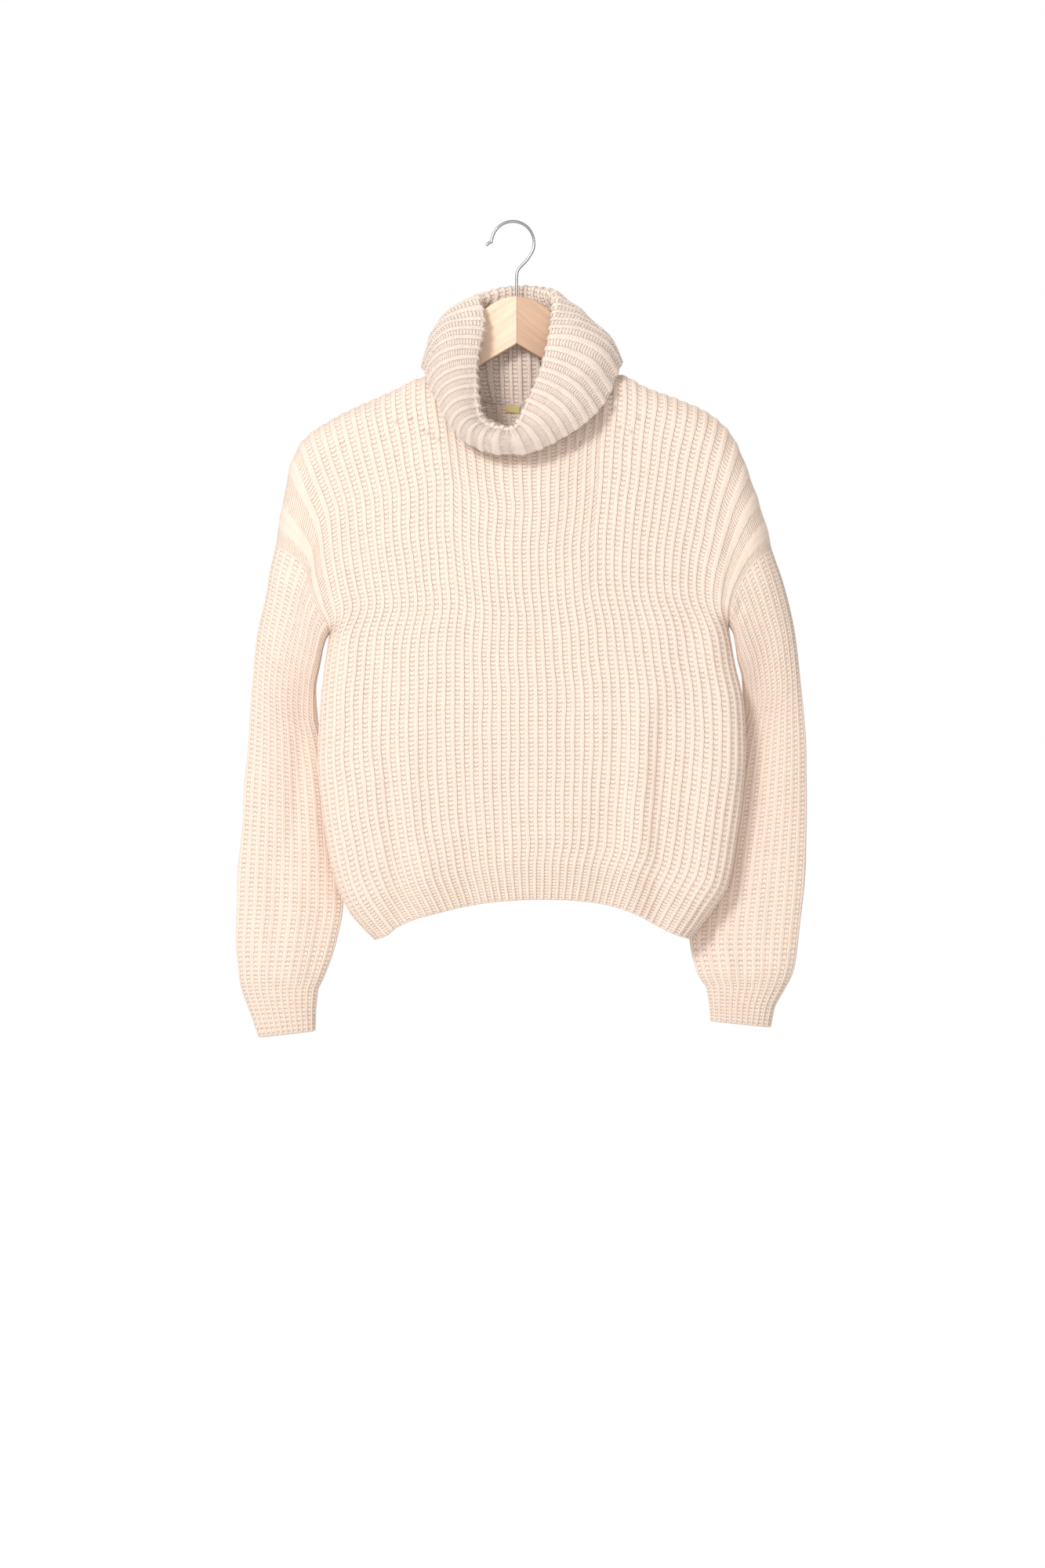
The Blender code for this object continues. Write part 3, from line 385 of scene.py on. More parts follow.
# ---------------------------------------------------------------- the collar
def collar(turns, seam, steps=(5, 4, 6)):
    """Face of the knit that looks outwards on the stand and inwards on the turned-down layer."""
    rows_turn = np.array(column(COLLAR, 0))
    fold = at(column(COLLAR, 1), column(COLLAR, 2), column(COLLAR, 3))
    edge = at(column(COLLAR, 4), column(COLLAR, 5), column(COLLAR, 6))
    base = np.stack([np.interp(rows_turn, list(turns) + [24.0], np.append(seam[:, k], seam[0, k]))
                     for k in range(3)], axis=-1)
    middle = at(COLLAR_MID, 470, 0)

    def bulge(a, b, amount):
        mid = (a + b) / 2
        out = (mid - middle) * [1, 1, 0]
        out = unit(np.where(np.abs(amount)[:, None] > 0, out, out))
        run = unit(b - a)
        normal = out - (out * run).sum(1, keepdims=True) * run
        return mid + unit(normal) * amount[:, None] * 0.001

    inner = bulge(base, fold, np.array(column(COLLAR, 7), float))
    over = bulge(fold, edge, np.array(column(COLLAR, 8), float))
    inner[np.array(column(COLLAR, 7)) < 0, 2] = (base + fold)[np.array(column(COLLAR, 7)) < 0, 2] / 2 + 0.004
    inner, over, fold, edge = (ring_through(rows_turn, p, turns) for p in (inner, over, fold, edge))
    up = unit(unit(fold - inner) + unit(fold - over))
    apart = over - inner
    apart = unit(apart - (apart * up).sum(1, keepdims=True) * up)
    r = FOLD_R * 0.001
    near, far = fold - apart * r, fold + apart * r
    lines = []
    n1, n2, n3 = steps
    for f in np.arange(n1) / n1:                      # stand, from the neck seam to the fold
        c = 2 * inner - (seam + near) / 2
        lines.append((1 - f) ** 2 * seam + 2 * f * (1 - f) * c + f * f * near)
    for f in np.arange(n2) / n2:                      # over the fold
        a = math.pi * f
        lines.append(fold - apart * r * math.cos(a) + up * r * math.sin(a))
    for f in np.arange(n3 + 1) / n3:                  # turned-down layer
        c = 2 * over - (far + edge) / 2
        lines.append((1 - f) ** 2 * far + 2 * f * (1 - f) * c + f * f * edge)
    return np.array(lines)


# ---------------------------------------------------------------- knit surfaces
STITCH = 0.00475             # height of one row of stitches
RIBS = {"panel": 50, "sleeve": 26, "collar": 42}
FINE = 7                     # points across a rib


def noise(p, scale, seed):
    """Smooth uneven field between about -1 and 1, a few waves with given directions."""
    out = np.zeros(p.shape[:-1])
    for k in range(5):
        a = seed * 1.7 + k * 2.399
        way = np.array([math.cos(a), 0.35 * math.sin(a * 1.3), math.sin(a)])
        out = out + np.sin((p @ way) / (scale * (0.7 + 0.17 * k)) * 2 * math.pi + seed * 5.1 + k * 1.9)
    return out / 2.6


def normals_of(grid, closed=False):
    """Unit normals of a grid of points, rows crossed with columns."""
    down = np.gradient(grid, axis=0)
    if closed:
        wide = np.concatenate([grid[:, -1:], grid, grid[:, :1]], axis=1)
        along = (wide[:, 2:] - wide[:, :-2]) / 2
    else:
        along = np.gradient(grid, axis=1)
    return unit(np.cross(along, down))


def to_grid(p):
    """Elevation grid point that each 3-D point lies behind."""
    f = 1 + p[..., 1] / SIGHT
    gx = EYE[0] + (p[..., 0] / U + BEARING[0] - EYE[0]) / f
    gy = EYE[1] + (BEARING[1] - EYE[1] - p[..., 2] / U) / f
    return gx, gy


# soft creases and troughs: side, x0, y0, x1, y1 and a bend to the side at the middle,
# half width in grid units, height in mm (+ ridge, - trough)
CREASES = [
    ("front", 395, 668, 384, 742, 3, 7, -2.6), ("front", 402, 690, 398, 770, 2, 8, 1.8),
    ("front", 424, 742, 423, 800, -2, 7, -2.2), ("front", 436, 700, 452, 850, -4, 12, 1.6),
    ("front", 405, 650, 480, 705, 6, 14, -1.4), ("front", 452, 760, 474, 900, 4, 15, -1.5),
    ("front", 941, 676, 927, 762, -4, 7, -2.6), ("front", 946, 762, 931, 802, 2, 6, -2.4),
    ("front", 925, 700, 905, 850, 4, 13, 1.5), ("front", 940, 650, 868, 712, -6, 15, -1.3),
    ("front", 890, 770, 872, 930, -5, 15, -1.4), ("front", 470, 930, 492, 1120, 5, 17, 1.8),
    ("front", 536, 960, 548, 1100, -3, 13, -2.2), ("front", 575, 905, 590, 1120, 4, 18, 1.6),
    ("front", 640, 985, 636, 1105, -3, 16, -1.1), ("front", 712, 940, 716, 1100, 3, 22, 1.2),
    ("front", 790, 900, 786, 1110, 4, 14, -1.7), ("front", 834, 860, 826, 1120, -5, 15, 1.6),
    ("front", 876, 930, 868, 1110, 4, 14, -1.8), ("front", 905, 960, 896, 1120, 3, 10, 1.4),
    ("front", 600, 610, 640, 690, 8, 26, 0.9), ("front", 735, 600, 700, 690, -6, 28, 0.8),
    ("back", 410, 670, 470, 760, 7, 15, -1.8), ("back", 440, 720, 465, 880, -4, 15, 1.6),
    ("back", 935, 665, 870, 760, -7, 16, -1.7), ("back", 905, 740, 885, 890, 4, 14, 1.7),
    ("back", 505, 900, 520, 1120, 5, 18, -2.0), ("back", 560, 860, 566, 1110, -4, 22, 1.9),
    ("back", 640, 930, 648, 1110, 3, 18, -1.5), ("back", 720, 880, 712, 1120, 5, 24, 1.7),
    ("back", 790, 910, 782, 1110, -4, 16, -2.1), ("back", 850, 870, 838, 1120, 4, 18, 1.5),
    ("back", 600, 575, 720, 590, 8, 24, -1.2),
    # sleeves
    ("front", 384, 850, 372, 1085, 5, 12, -3.0), ("front", 352, 800, 340, 1010, -3, 16, 1.5),
    ("front", 401, 950, 398, 1130, 3, 12, 1.6), ("front", 348, 1060, 352, 1230, 3, 13, -1.6),
    ("front", 380, 1120, 372, 1255, -3, 11, 1.7), ("front", 412, 1150, 394, 1255, 3, 9, -1.6),
    ("front", 330, 1150, 336, 1250, 2, 9, 1.2),
    ("front", 968, 820, 978, 1060, -4, 13, -2.4), ("front", 995, 800, 1003, 1030, 3, 15, 1.4),
    ("front", 940, 960, 948, 1130, -3, 12, 1.5), ("front", 893, 1160, 921, 1290, 5, 7, -3.2),
    ("front", 905, 1150, 934, 1270, 5, 7, 1.6), ("front", 985, 1080, 975, 1250, 4, 12, -1.5),
    ("front", 955, 1140, 950, 1255, -2, 10, -1.4),
    ("back", 390, 860, 376, 1090, 4, 13, -2.4), ("back", 350, 950, 345, 1200, -3, 14, 1.6),
    ("back", 396, 1100, 380, 1250, 3, 11, -1.5), ("back", 965, 840, 975, 1080, -4, 13, -2.3),
    ("back", 1000, 930, 1000, 1180, 3, 14, 1.5), ("back", 930, 1090, 940, 1250, 3, 11, -1.6),
]
# small holes left where stitches were taken together beside the neck
HOLES = [(505.6, 538.6), (525.3, 534.4), (540.7, 548.4), (546, 553), (553, 557), (560, 561),
         (784, 520), (791, 545.6), (740, 565), (735, 573), (815, 533), (806, 551)]


def creases(p, n):
    """Height of the listed creases at points with normals, in metres, and how deep they lie."""
    gx, gy = to_grid(p)
    rise = np.zeros(gx.shape)
    for side, x0, y0, x1, y1, bend, width, height in CREASES:
        facing = smooth_step((-n[..., 1] if side == "front" else n[..., 1]) * 2.2)
        a, d = np.array([x0, y0], float), np.array([x1 - x0, y1 - y0], float)
        length = math.hypot(*d)
        f = ((gx - a[0]) * d[0] + (gy - a[1]) * d[1]) / length ** 2
        off = ((gx - a[0]) * d[1] - (gy - a[1]) * d[0]) / length - bend * (1 - (2 * f - 1) ** 2)
        fade = smooth_step((f + 0.12) / 0.35) * smooth_step((1.12 - f) / 0.35)
        rise = rise + height * np.exp(-(off / width) ** 2) * fade * facing
    return rise * 0.001


def holes(p, n):
    gx, gy = to_grid(p)
    out = np.zeros(gx.shape)
    for x, y in HOLES:
        out = np.maximum(out, np.exp(-(((gx - x) / 2.0) ** 2 + ((gy - y) / 2.6) ** 2)) * (n[..., 1] < -0.2))
    return out


def rib_height(u, v, ridge, loops):
    """Relief of the knit: u counts ribs, v counts rows of stitches. Raised column at each half."""
    across = np.abs(u - np.floor(u) - 0.5)
    column_up = 1 - smooth_step((across - 0.10) / 0.24)
    ground = np.sin(math.pi * np.clip((across - 0.10) / 0.40, 0, 1)) ** 2
    stitch = np.cos(2 * math.pi * v)
    return ridge * column_up + loops * stitch * (0.45 * column_up - ground)


def shell(name, seen, hidden, u, v, closed=False, flip=False, step_rows=4, step_cols=FINE,
          ends=(), shade=None):
    """Closed knitted wall: a fine grid on the side that is seen, a plain one on the other.
    ends: which of the first and last rows are free edges, rounded between the two faces."""
    rows, cols = seen.shape[:2]
    wide = cols if closed else cols - 1
    points = [seen.reshape(-1, 3), hidden.reshape(-1, 3)]
    base = rows * cols
    i, j = np.meshgrid(np.arange(rows - 1), np.arange(wide), indexing="ij")
    i, j = i.ravel(), j.ravel()
    k = (j + 1) % cols
    quads = np.stack([i * cols + j, i * cols + k, (i + 1) * cols + k, (i + 1) * cols + j], axis=1)
    vv = np.broadcast_to(v, (rows,))
    uv_quads = np.stack([np.stack([u[j], vv[i]], -1), np.stack([u[j + 1], vv[i]], -1),
                         np.stack([u[j + 1], vv[i + 1]], -1), np.stack([u[j], vv[i + 1]], -1)], axis=1)
    polygons = (quads[:, ::-1] if flip else quads).tolist()
    coords = (uv_quads[:, ::-1] if flip else uv_quads).reshape(-1, 2).tolist()

    def add(ids, uvs):
        polygons.append(ids if flip else ids[::-1])
        coords.extend(uvs if flip else uvs[::-1])

    # the plain side, whose outer cells take in every point of the rim
    r_at = list(range(0, rows - 1, step_rows)) + [rows - 1]
    c_at = list(range(0, wide, step_cols)) + [wide]
    for a, b in zip(r_at[:-1], r_at[1:]):
        for c, d in zip(c_at[:-1], c_at[1:]):
            low = range(c, d + 1) if a == 0 else (c, d)
            right = range(a, b + 1) if d == wide and not closed else (a, b)
            high = range(c, d + 1) if b == rows - 1 else (c, d)
            left = range(a, b + 1) if c == 0 and not closed else (a, b)
            ring = ([(a, x) for x in low][:-1] + [(y, d) for y in right][:-1]
                    + [(b, x) for x in high][::-1][:-1] + [(y, c) for y in left][::-1][:-1])
            add([base + y * cols + x % cols for y, x in ring], [[u[x], vv[y]] for y, x in ring])

    # rims
    rims = [([(0, x) for x in range(wide + 1)], 0 in ends, -1),
            ([(rows - 1, x) for x in range(wide + 1)], 1 in ends, 1)]
    if not closed:
        rims += [([(y, 0) for y in range(rows)], False, 1),
                 ([(y, cols - 1) for y in range(rows)], False, -1)]
    total = 2 * base
    for line, rounded, way in rims:
        ids = [y * cols + x % cols for y, x in line]
        lanes = [ids]
        if rounded:
            y = line[0][0]
            out = unit(seen[y] - seen[y - way]) * 0.0016
            for f in (0.25, 0.5, 0.75):
                ring = seen[y] * (1 - f) + hidden[y] * f + out * math.sin(math.pi * f)
                points.append(ring)
                lanes.append([total + x % cols for _, x in line])
                total += cols
        lanes.append([base + n for n in ids])
        for one, two in zip(lanes[:-1], lanes[1:]):
            for n in range(len(line) - 1):
                quad = [one[n], two[n], two[n + 1], one[n + 1]]
                uvs = [[u[line[m][1]], vv[line[m][0]]] for m in (n, n, n + 1, n + 1)]
                if (way < 0) != flip:
                    quad, uvs = quad[::-1], uvs[::-1]
                quad, uvs = quad[::-1], uvs[::-1]
                polygons.append(quad)
                coords.extend(uvs)

    points = np.concatenate(points)
    used = np.zeros(len(points), bool)
    sizes = [len(q) for q in polygons]
    flat = np.concatenate([np.asarray(q) for q in polygons])
    used[flat] = True
    new_id = np.cumsum(used) - 1
    flat = new_id[flat]
    cuts = np.cumsum([0] + sizes)
    flat_list = flat.tolist()
    polygons = [flat_list[a:b] for a, b in zip(cuts[:-1], cuts[1:])]
    mesh = bpy.data.meshes.new(name)
    mesh.from_pydata(points[used].tolist(), [], polygons)
    layer = mesh.uv_layers.new(name="knit")
    layer.data.foreach_set("uv", np.asarray(coords, np.float32).ravel())
    # painted shade of the holes beside the neck, passed to the material
    if shade is not None:
        full = np.zeros(len(points), np.float32)
        full[:base] = shade.ravel()
        hole_shade = mesh.attributes.new("hole_shade", "FLOAT", "POINT")
        hole_shade.data.foreach_set("value", full[used])
    mesh.update()
    mesh.shade_smooth()
    mesh.set_sharp_from_angle(angle=math.radians(64))
    obj = bpy.data.objects.new(name, mesh)
    bpy.context.scene.collection.objects.link(obj)
    return obj


# ---------------------------------------------------------------- materials
class Nodes:
    """Short way to wire a material."""

    def __init__(self, name):
        self.material = bpy.data.materials.new(name)
        self.material.use_nodes = True
        self.tree = self.material.node_tree
        self.shader = self.tree.nodes["Principled BSDF"]

    def node(self, kind, **values):
        n = self.tree.nodes.new(kind)
        for key, value in values.items():
            setattr(n, key, value)
        return n

    def link(self, a, b):
        self.tree.links.new(a, b)

    def math(self, kind, a, b=None, c=None):
        n = self.node("ShaderNodeMath", operation=kind)
        for k, value in enumerate((a, b, c)):
            if value is None:
                continue
            if isinstance(value, (int, float)):
                n.inputs[k].default_value = value
            else:
                self.link(value, n.inputs[k])
        return n.outputs[0]

    def band(self, value, low, high):
        """0 below low, 1 above high, smooth between."""
        n = self.node("ShaderNodeMapRange", interpolation_type="SMOOTHSTEP")
        self.link(value, n.inputs[0])
        n.inputs[1].default_value, n.inputs[2].default_value = low, high
        return n.outputs[0]

    def mix(self, factor, a, b):
        n = self.node("ShaderNodeMix", data_type="RGBA")
        if isinstance(factor, (int, float)):
            n.inputs[0].default_value = factor
        else:
            self.link(factor, n.inputs[0])
        for value, socket in ((a, n.inputs[6]), (b, n.inputs[7])):
            if isinstance(value, tuple):
                socket.default_value = (*value, 1)
            else:
                self.link(value, socket)
        return n.outputs[2]

    def bump(self, height, distance, strength=1.0, normal=None):
        n = self.node("ShaderNodeBump")
        n.inputs["Strength"].default_value = strength
        n.inputs["Distance"].default_value = distance
        self.link(height, n.inputs["Height"])
        if normal is not None:
            self.link(normal, n.inputs["Normal"])
        return n.outputs["Normal"]


def knit_material(name, light, dark, shade_tint, fuzz, depth, lean=0.0):
    """Ribbed knit on its own rib and row coordinates: raised columns of two legs, and between
    them stacked tuck loops whose gaps are painted dark as shade."""
    m = Nodes(name)
    uv = m.node("ShaderNodeUVMap", uv_map="knit")
    wobble = m.node("ShaderNodeTexNoise")
    wobble.inputs["Scale"].default_value = 1.3
    wobble.inputs["Detail"].default_value = 2.0
    m.link(uv.outputs[0], wobble.inputs["Vector"])
    part = m.node("ShaderNodeSeparateXYZ")
    m.link(uv.outputs[0], part.inputs[0])
    shift = m.math("MULTIPLY_ADD", wobble.outputs[0], 0.16, -0.08)
    u = m.math("ADD", part.outputs[0], shift)
    v = m.math("ADD", part.outputs[1], m.math("MULTIPLY", shift, 2.4))
    across = m.math("SUBTRACT", m.math("FRACT", u), 0.5)
    away = m.math("ABSOLUTE", across)
    ground = m.band(away, 0.20, 0.30)                       # 1 between the raised columns
    # stacked loops: arcs that droop towards the middle of the ground
    arc = m.math("MULTIPLY", m.math("COSINE", m.math("MULTIPLY", u, 4 * math.pi)), 0.10)
    row = m.math("FRACT", m.math("ADD", v, arc))
    line = m.math("ABSOLUTE", m.math("SUBTRACT", row, 0.5))
    gap = m.math("SUBTRACT", 1.0, m.band(line, 0.07, 0.23))  # painted shade in the gap of each row
    loop_gap_shade = m.math("MULTIPLY", gap, ground)
    # legs of the raised column: two lines, with a slit and slanted nicks between stitches, both painted as shade
    slit = m.math("SUBTRACT", 1.0, m.band(away, 0.015, 0.075))
    slant = m.math("FRACT", m.math("ADD", v, m.math("MULTIPLY", away, 1.9)))
    nick = m.math("SUBTRACT", 1.0, m.band(m.math("ABSOLUTE", m.math("SUBTRACT", slant, 0.5)), 0.05, 0.20))
    on_column = m.math("SUBTRACT", 1.0, ground)
    leg_nick_shade = m.math("MULTIPLY", m.math("MULTIPLY", nick, on_column), 0.42)
    edge = m.math("SUBTRACT", 1.0, m.band(m.math("ABSOLUTE", m.math("SUBTRACT", away, 0.26)), 0.02, 0.09))
    # uneven strength of the painted shade over the cloth
    cloth = m.node("ShaderNodeTexNoise")
    cloth.inputs["Scale"].default_value = 0.35
    cloth.inputs["Detail"].default_value = 4.0
    m.link(uv.outputs[0], cloth.inputs["Vector"])
    uneven = m.math("MULTIPLY_ADD", cloth.outputs[0], 1.1, 0.45)
    # painted shade of the loop gaps, slits and nicks; the same mask sinks these gaps in the bump
    gap_shade_and_depth = m.math("MULTIPLY", m.math("MAXIMUM", loop_gap_shade,
                                     m.math("MAXIMUM", leg_nick_shade, m.math("MULTIPLY", slit, 0.30))), uneven)
    # fibres
    fibre = m.node("ShaderNodeTexNoise")
    fibre.inputs["Scale"].default_value = 9.0
    fibre.inputs["Detail"].default_value = 6.0
    fibre.inputs["Roughness"].default_value = 0.75
    m.link(uv.outputs[0], fibre.inputs["Vector"])
    tone = m.mix(m.math("MULTIPLY_ADD", fibre.outputs[0], 0.9, -0.25), light, dark)
    # painted shade: the sunken ground between the raised columns is darkened towards the dark tone
    tone = m.mix(m.math("MULTIPLY", ground, 0.30), tone, dark)
    # painted shade: the gaps, slits and nicks darkened towards the shade tint
    colour = m.mix(m.math("MINIMUM", m.math("MULTIPLY", gap_shade_and_depth, 0.52), 1.0), tone, shade_tint)
    # painted shade: the holes beside the neck darkened, as their insides lie in shadow
    hole_shade = m.node("ShaderNodeAttribute", attribute_name="hole_shade", attribute_type="GEOMETRY")
    colour = m.mix(hole_shade.outputs["Fac"], colour, tuple(c * 0.55 for c in shade_tint))
    m.link(colour, m.shader.inputs["Base Color"])
    height = m.math("SUBTRACT", m.math("MULTIPLY", on_column, 0.5), m.math("MULTIPLY", gap_shade_and_depth, 0.55))
    height = m.math("SUBTRACT", height, m.math("MULTIPLY", edge, 0.25))
    first = m.bump(height, depth, 0.9)
    second = m.bump(fibre.outputs[0], fuzz, 0.8, first)
    m.link(second, m.shader.inputs["Normal"])
    m.shader.inputs["Roughness"].default_value = 0.92
    m.shader.inputs["Specular IOR Level"].default_value = 0.18
    m.shader.inputs["Sheen Weight"].default_value = 0.28
    m.shader.inputs["Sheen Roughness"].default_value = 0.55
    m.shader.inputs["Sheen Tint"].default_value = (1.0, 0.96, 0.91, 1)
    return m.material


def wood_material(name, light, dark, angle, fine):
    m = Nodes(name)
    where = m.node("ShaderNodeTexCoord")
    turn = m.node("ShaderNodeMapping")
    turn.inputs["Rotation"].default_value = (0, math.radians(angle), 0)
    turn.inputs["Scale"].default_value = (1.0, 1.0, 1.0)
    m.link(where.outputs["Object"], turn.inputs["Vector"])
    pull = m.node("ShaderNodeMapping")
    pull.inputs["Scale"].default_value = (14.0, 130.0, 260.0)
    m.link(turn.outputs[0], pull.inputs["Vector"])
    grain = m.node("ShaderNodeTexNoise")
    grain.inputs["Scale"].default_value = 1.0
    grain.inputs["Detail"].default_value = 5.0
    grain.inputs["Distortion"].default_value = 0.4
    m.link(pull.outputs[0], grain.inputs["Vector"])
    flecks_map = m.node("ShaderNodeMapping")
    flecks_map.inputs["Scale"].default_value = (170.0, 500.0, 1500.0 * fine)
    m.link(turn.outputs[0], flecks_map.inputs["Vector"])
    flecks = m.node("ShaderNodeTexNoise")
    flecks.inputs["Scale"].default_value = 1.0
    flecks.inputs["Detail"].default_value = 3.0
    m.link(flecks_map.outputs[0], flecks.inputs["Vector"])
    fleck = m.band(flecks.outputs[0], 0.58, 0.72)
    tone = m.mix(m.band(grain.outputs[0], 0.32, 0.70), light, dark)
    colour = m.mix(m.math("MULTIPLY", fleck, 0.45), tone, tuple(c * 0.72 for c in dark))
    m.link(colour, m.shader.inputs["Base Color"])
    rough = m.math("MULTIPLY_ADD", flecks.outputs[0], 0.2, 0.36)
    m.link(rough, m.shader.inputs["Roughness"])
    m.link(m.bump(flecks.outputs[0], 0.00012, 0.5), m.shader.inputs["Normal"])
    m.shader.inputs["Coat Weight"].default_value = 0.15
    m.shader.inputs["Coat Roughness"].default_value = 0.35
    return m.material


# the last colour of each knit look is the tint of its painted shade in the gaps, slits, nicks and holes
BODY_LIGHT, BODY_DARK, BODY_SHADE_TINT = (0.915, 0.745, 0.635), (0.87, 0.675, 0.55), (0.55, 0.37, 0.255)
body_look = knit_material("cream_knit_look", BODY_LIGHT, BODY_DARK, BODY_SHADE_TINT, 0.0004, 0.0011)
rib_look = knit_material("cream_rib_look", BODY_LIGHT, BODY_DARK, BODY_SHADE_TINT, 0.0004, 0.0012)
collar_look = knit_material("cream_collar_look", (0.93, 0.785, 0.69), (0.86, 0.695, 0.59),
                            (0.50, 0.34, 0.24), 0.0008, 0.0015)
wood_left = wood_material("beech_light_look", (0.89, 0.67, 0.50), (0.80, 0.55, 0.38), 33, 0.8)
# painted shade: the right arm gets a darker copy of the beech for the shade on its angled face, the left arm the lit
# tone
wood_right_shaded = wood_material("beech_shaded_look", (0.62, 0.40, 0.265), (0.54, 0.33, 0.21), -38, 1.4)

m = Nodes("chrome_wire_look")
m.shader.inputs["Base Color"].default_value = (0.38, 0.37, 0.37, 1)
m.shader.inputs["Metallic"].default_value = 1.0
scuff = m.node("ShaderNodeTexNoise")
scuff.inputs["Scale"].default_value = 400.0
scuff.inputs["Detail"].default_value = 4.0
m.link(m.math("MULTIPLY_ADD", scuff.outputs[0], 0.10, 0.22), m.shader.inputs["Roughness"])
chrome = m.material

m = Nodes("label_woven_look")
where = m.node("ShaderNodeTexCoord")
weave = m.node("ShaderNodeTexWave", wave_type="BANDS", bands_direction="Z")
weave.inputs["Scale"].default_value = 900.0
m.link(where.outputs["Object"], weave.inputs["Vector"])
m.link(m.mix(weave.outputs["Fac"], (0.62, 0.47, 0.17), (0.80, 0.66, 0.30)), m.shader.inputs["Base Color"])
m.link(m.bump(weave.outputs["Fac"], 0.0001, 0.8), m.shader.inputs["Normal"])
m.shader.inputs["Roughness"].default_value = 0.6
m.shader.inputs["Sheen Weight"].default_value = 0.3
label_look = m.material


# ---------------------------------------------------------------- body panels
def even_rows(side, low, high, count):
    """Levels evenly spaced along the cloth, averaged over a few columns."""
    t = np.linspace(low, high, 161)
    grid = panel(side, t, [0.12, 0.3, 0.5, 0.7, 0.88])
    run = np.linalg.norm(np.diff(grid, axis=0), axis=2).mean(axis=1)
    run = np.concatenate([[0], np.cumsum(run)])
    return np.interp(np.linspace(0, run[-1], count), run, t)


def faded(n, edge):
    """0 at both ends of n points, 1 from edge points in."""
    k = np.arange(n)
    return smooth_step(np.minimum(k, n - 1 - k) / edge)


pieces = {}
RIB_COUNT = RIBS["panel"]
columns = RIB_COUNT * FINE + 1
share_line = np.linspace(0, 1, columns)
u_line = share_line * RIB_COUNT
ROWS = 104                   # stitch rows from the hem rib to the shoulder
HEM_ROWS = 12
grids, grid_normals = {}, {}
levels = even_rows("front", T_HEM, 1.0, 2 * ROWS + 1)
hem_levels = np.linspace(0.0, T_HEM, 2 * HEM_ROWS + 1)
for side in ("front", "back"):
    grids[side] = panel(side, np.concatenate([hem_levels[:-1], levels]), share_line)
    n = normals_of(grids[side])
    grid_normals[side] = n if side == "front" else -n
for k in (0, -1):            # both sides share the normal along the side seams
    mean = unit(grid_normals["front"][:, k] + grid_normals["back"][:, k])
    for side in ("front", "back"):
        grid_normals[side][:, k] = mean

for side in ("front", "back"):
    p, n = grids[side], grid_normals[side]
    rows = len(p)
    v_line = np.concatenate([np.arange(2 * HEM_ROWS) / 2.0 - HEM_ROWS, np.arange(len(levels)) / 2.0])
    inset = faded(columns, 14)[None, :] * smooth_step((rows - 1 - np.arange(rows)) / 10)[:, None]
    body = smooth_step((v_line + 2) / 9)[:, None]
    soft = creases(p, n) * inset * (0.35 + 0.65 * body) + noise(p, 0.115, 2.0)[..., ] * 0.0008 * inset * body
    # the holes are dented here and painted dark as shade in the material
    pits = holes(p, n)
    relief = np.where(v_line[:, None] < 0,
                      rib_height(u_line[None, :], v_line[:, None], 0.0013, 0.00007),
                      rib_height(u_line[None, :], v_line[:, None], 0.0010, 0.00009))
    # the hem rib draws in: a shallow step where it starts
    pull = -0.0004 * np.exp(-((v_line + 0.6) / 2.0) ** 2)[:, None] * inset
    seen = p + n * (soft + relief + pull - 0.0008 * pits)[..., None]
    side_shift = noise(p, 0.05, 4.0 if side == "front" else 7.0) * 0.0005 * inset
    seen = seen + unit(np.gradient(seen, axis=1)) * side_shift[..., None]
    hidden = p - n * WALL + n * (soft + pull)[..., None]
    cut = 2 * HEM_ROWS
    for name, part, look, ends in (
            (f"knit_{side}", slice(cut, None), body_look, ()),
            (f"hem_{side}", slice(0, cut + 1), rib_look, (0,))):
        piece = shell(name, seen[part], hidden[part], u_line, v_line[part], flip=side == "back",
                      step_rows=6, ends=ends, shade=pits[part] * 0.55)
        piece.data.materials.append(look)
        pieces[name] = piece

# ---------------------------------------------------------------- sleeves and cuffs
ribs = RIBS["sleeve"]
half = ribs * FINE // 2
u_ring = np.arange(2 * half + 1) / FINE
for name, rows_in, cuff_in, share, flip in (("left", LEFT_SLEEVE, LEFT_CUFF, 0, True),
                                            ("right", RIGHT_SLEEVE, RIGHT_CUFF, 1, False)):
    arm_rows, cuff_rows = 98, 10
    arm = sleeve(rows_in, share, half, np.linspace(0, 1, 2 * arm_rows + 1), "armhole")
    cuff = sleeve(cuff_in, share, half, np.linspace(0, 1, 2 * cuff_rows + 1))
    whole = np.concatenate([arm, cuff[1:]])
    n = normals_of(whole, closed=True)
    centre = whole.mean(axis=1, keepdims=True)
    n = n * np.sign(((whole - centre) * n).sum(-1).mean())
    v_line = np.arange(len(whole)) / 2.0
    start = smooth_step(v_line / 5)[:, None]
    arm_part = smooth_step((arm_rows + 2 - v_line) / 9)[:, None]
    soft = (creases(whole, n) * (0.35 + 0.65 * arm_part) + noise(whole, 0.09, 5.0 + share) * 0.0008 * arm_part) * start
    relief = np.where(v_line[:, None] > arm_rows,
                      rib_height(u_ring[None, :-1], v_line[:, None], 0.0013, 0.00007),
                      rib_height(u_ring[None, :-1], v_line[:, None], 0.0010, 0.00009) * (0.3 + 0.7 * start))
    pull = -0.0005 * np.exp(-((v_line - arm_rows - 0.6) / 2.0) ** 2)[:, None]
    seen = whole + n * (soft + relief + pull)[..., None]
    hidden = whole - n * WALL + n * (soft + pull)[..., None]
    cut = 2 * arm_rows
    for label, part, look, ends in ((f"knit_sleeve_{name}", slice(0, cut + 1), body_look, ()),
                                    (f"knit_cuff_{name}", slice(cut, None), rib_look, (1,))):
        piece = shell(label, seen[part], hidden[part], u_ring, v_line[part], closed=True,
                      flip=not flip, step_rows=6, ends=ends)
        piece.data.materials.append(look)
        pieces[label] = piece

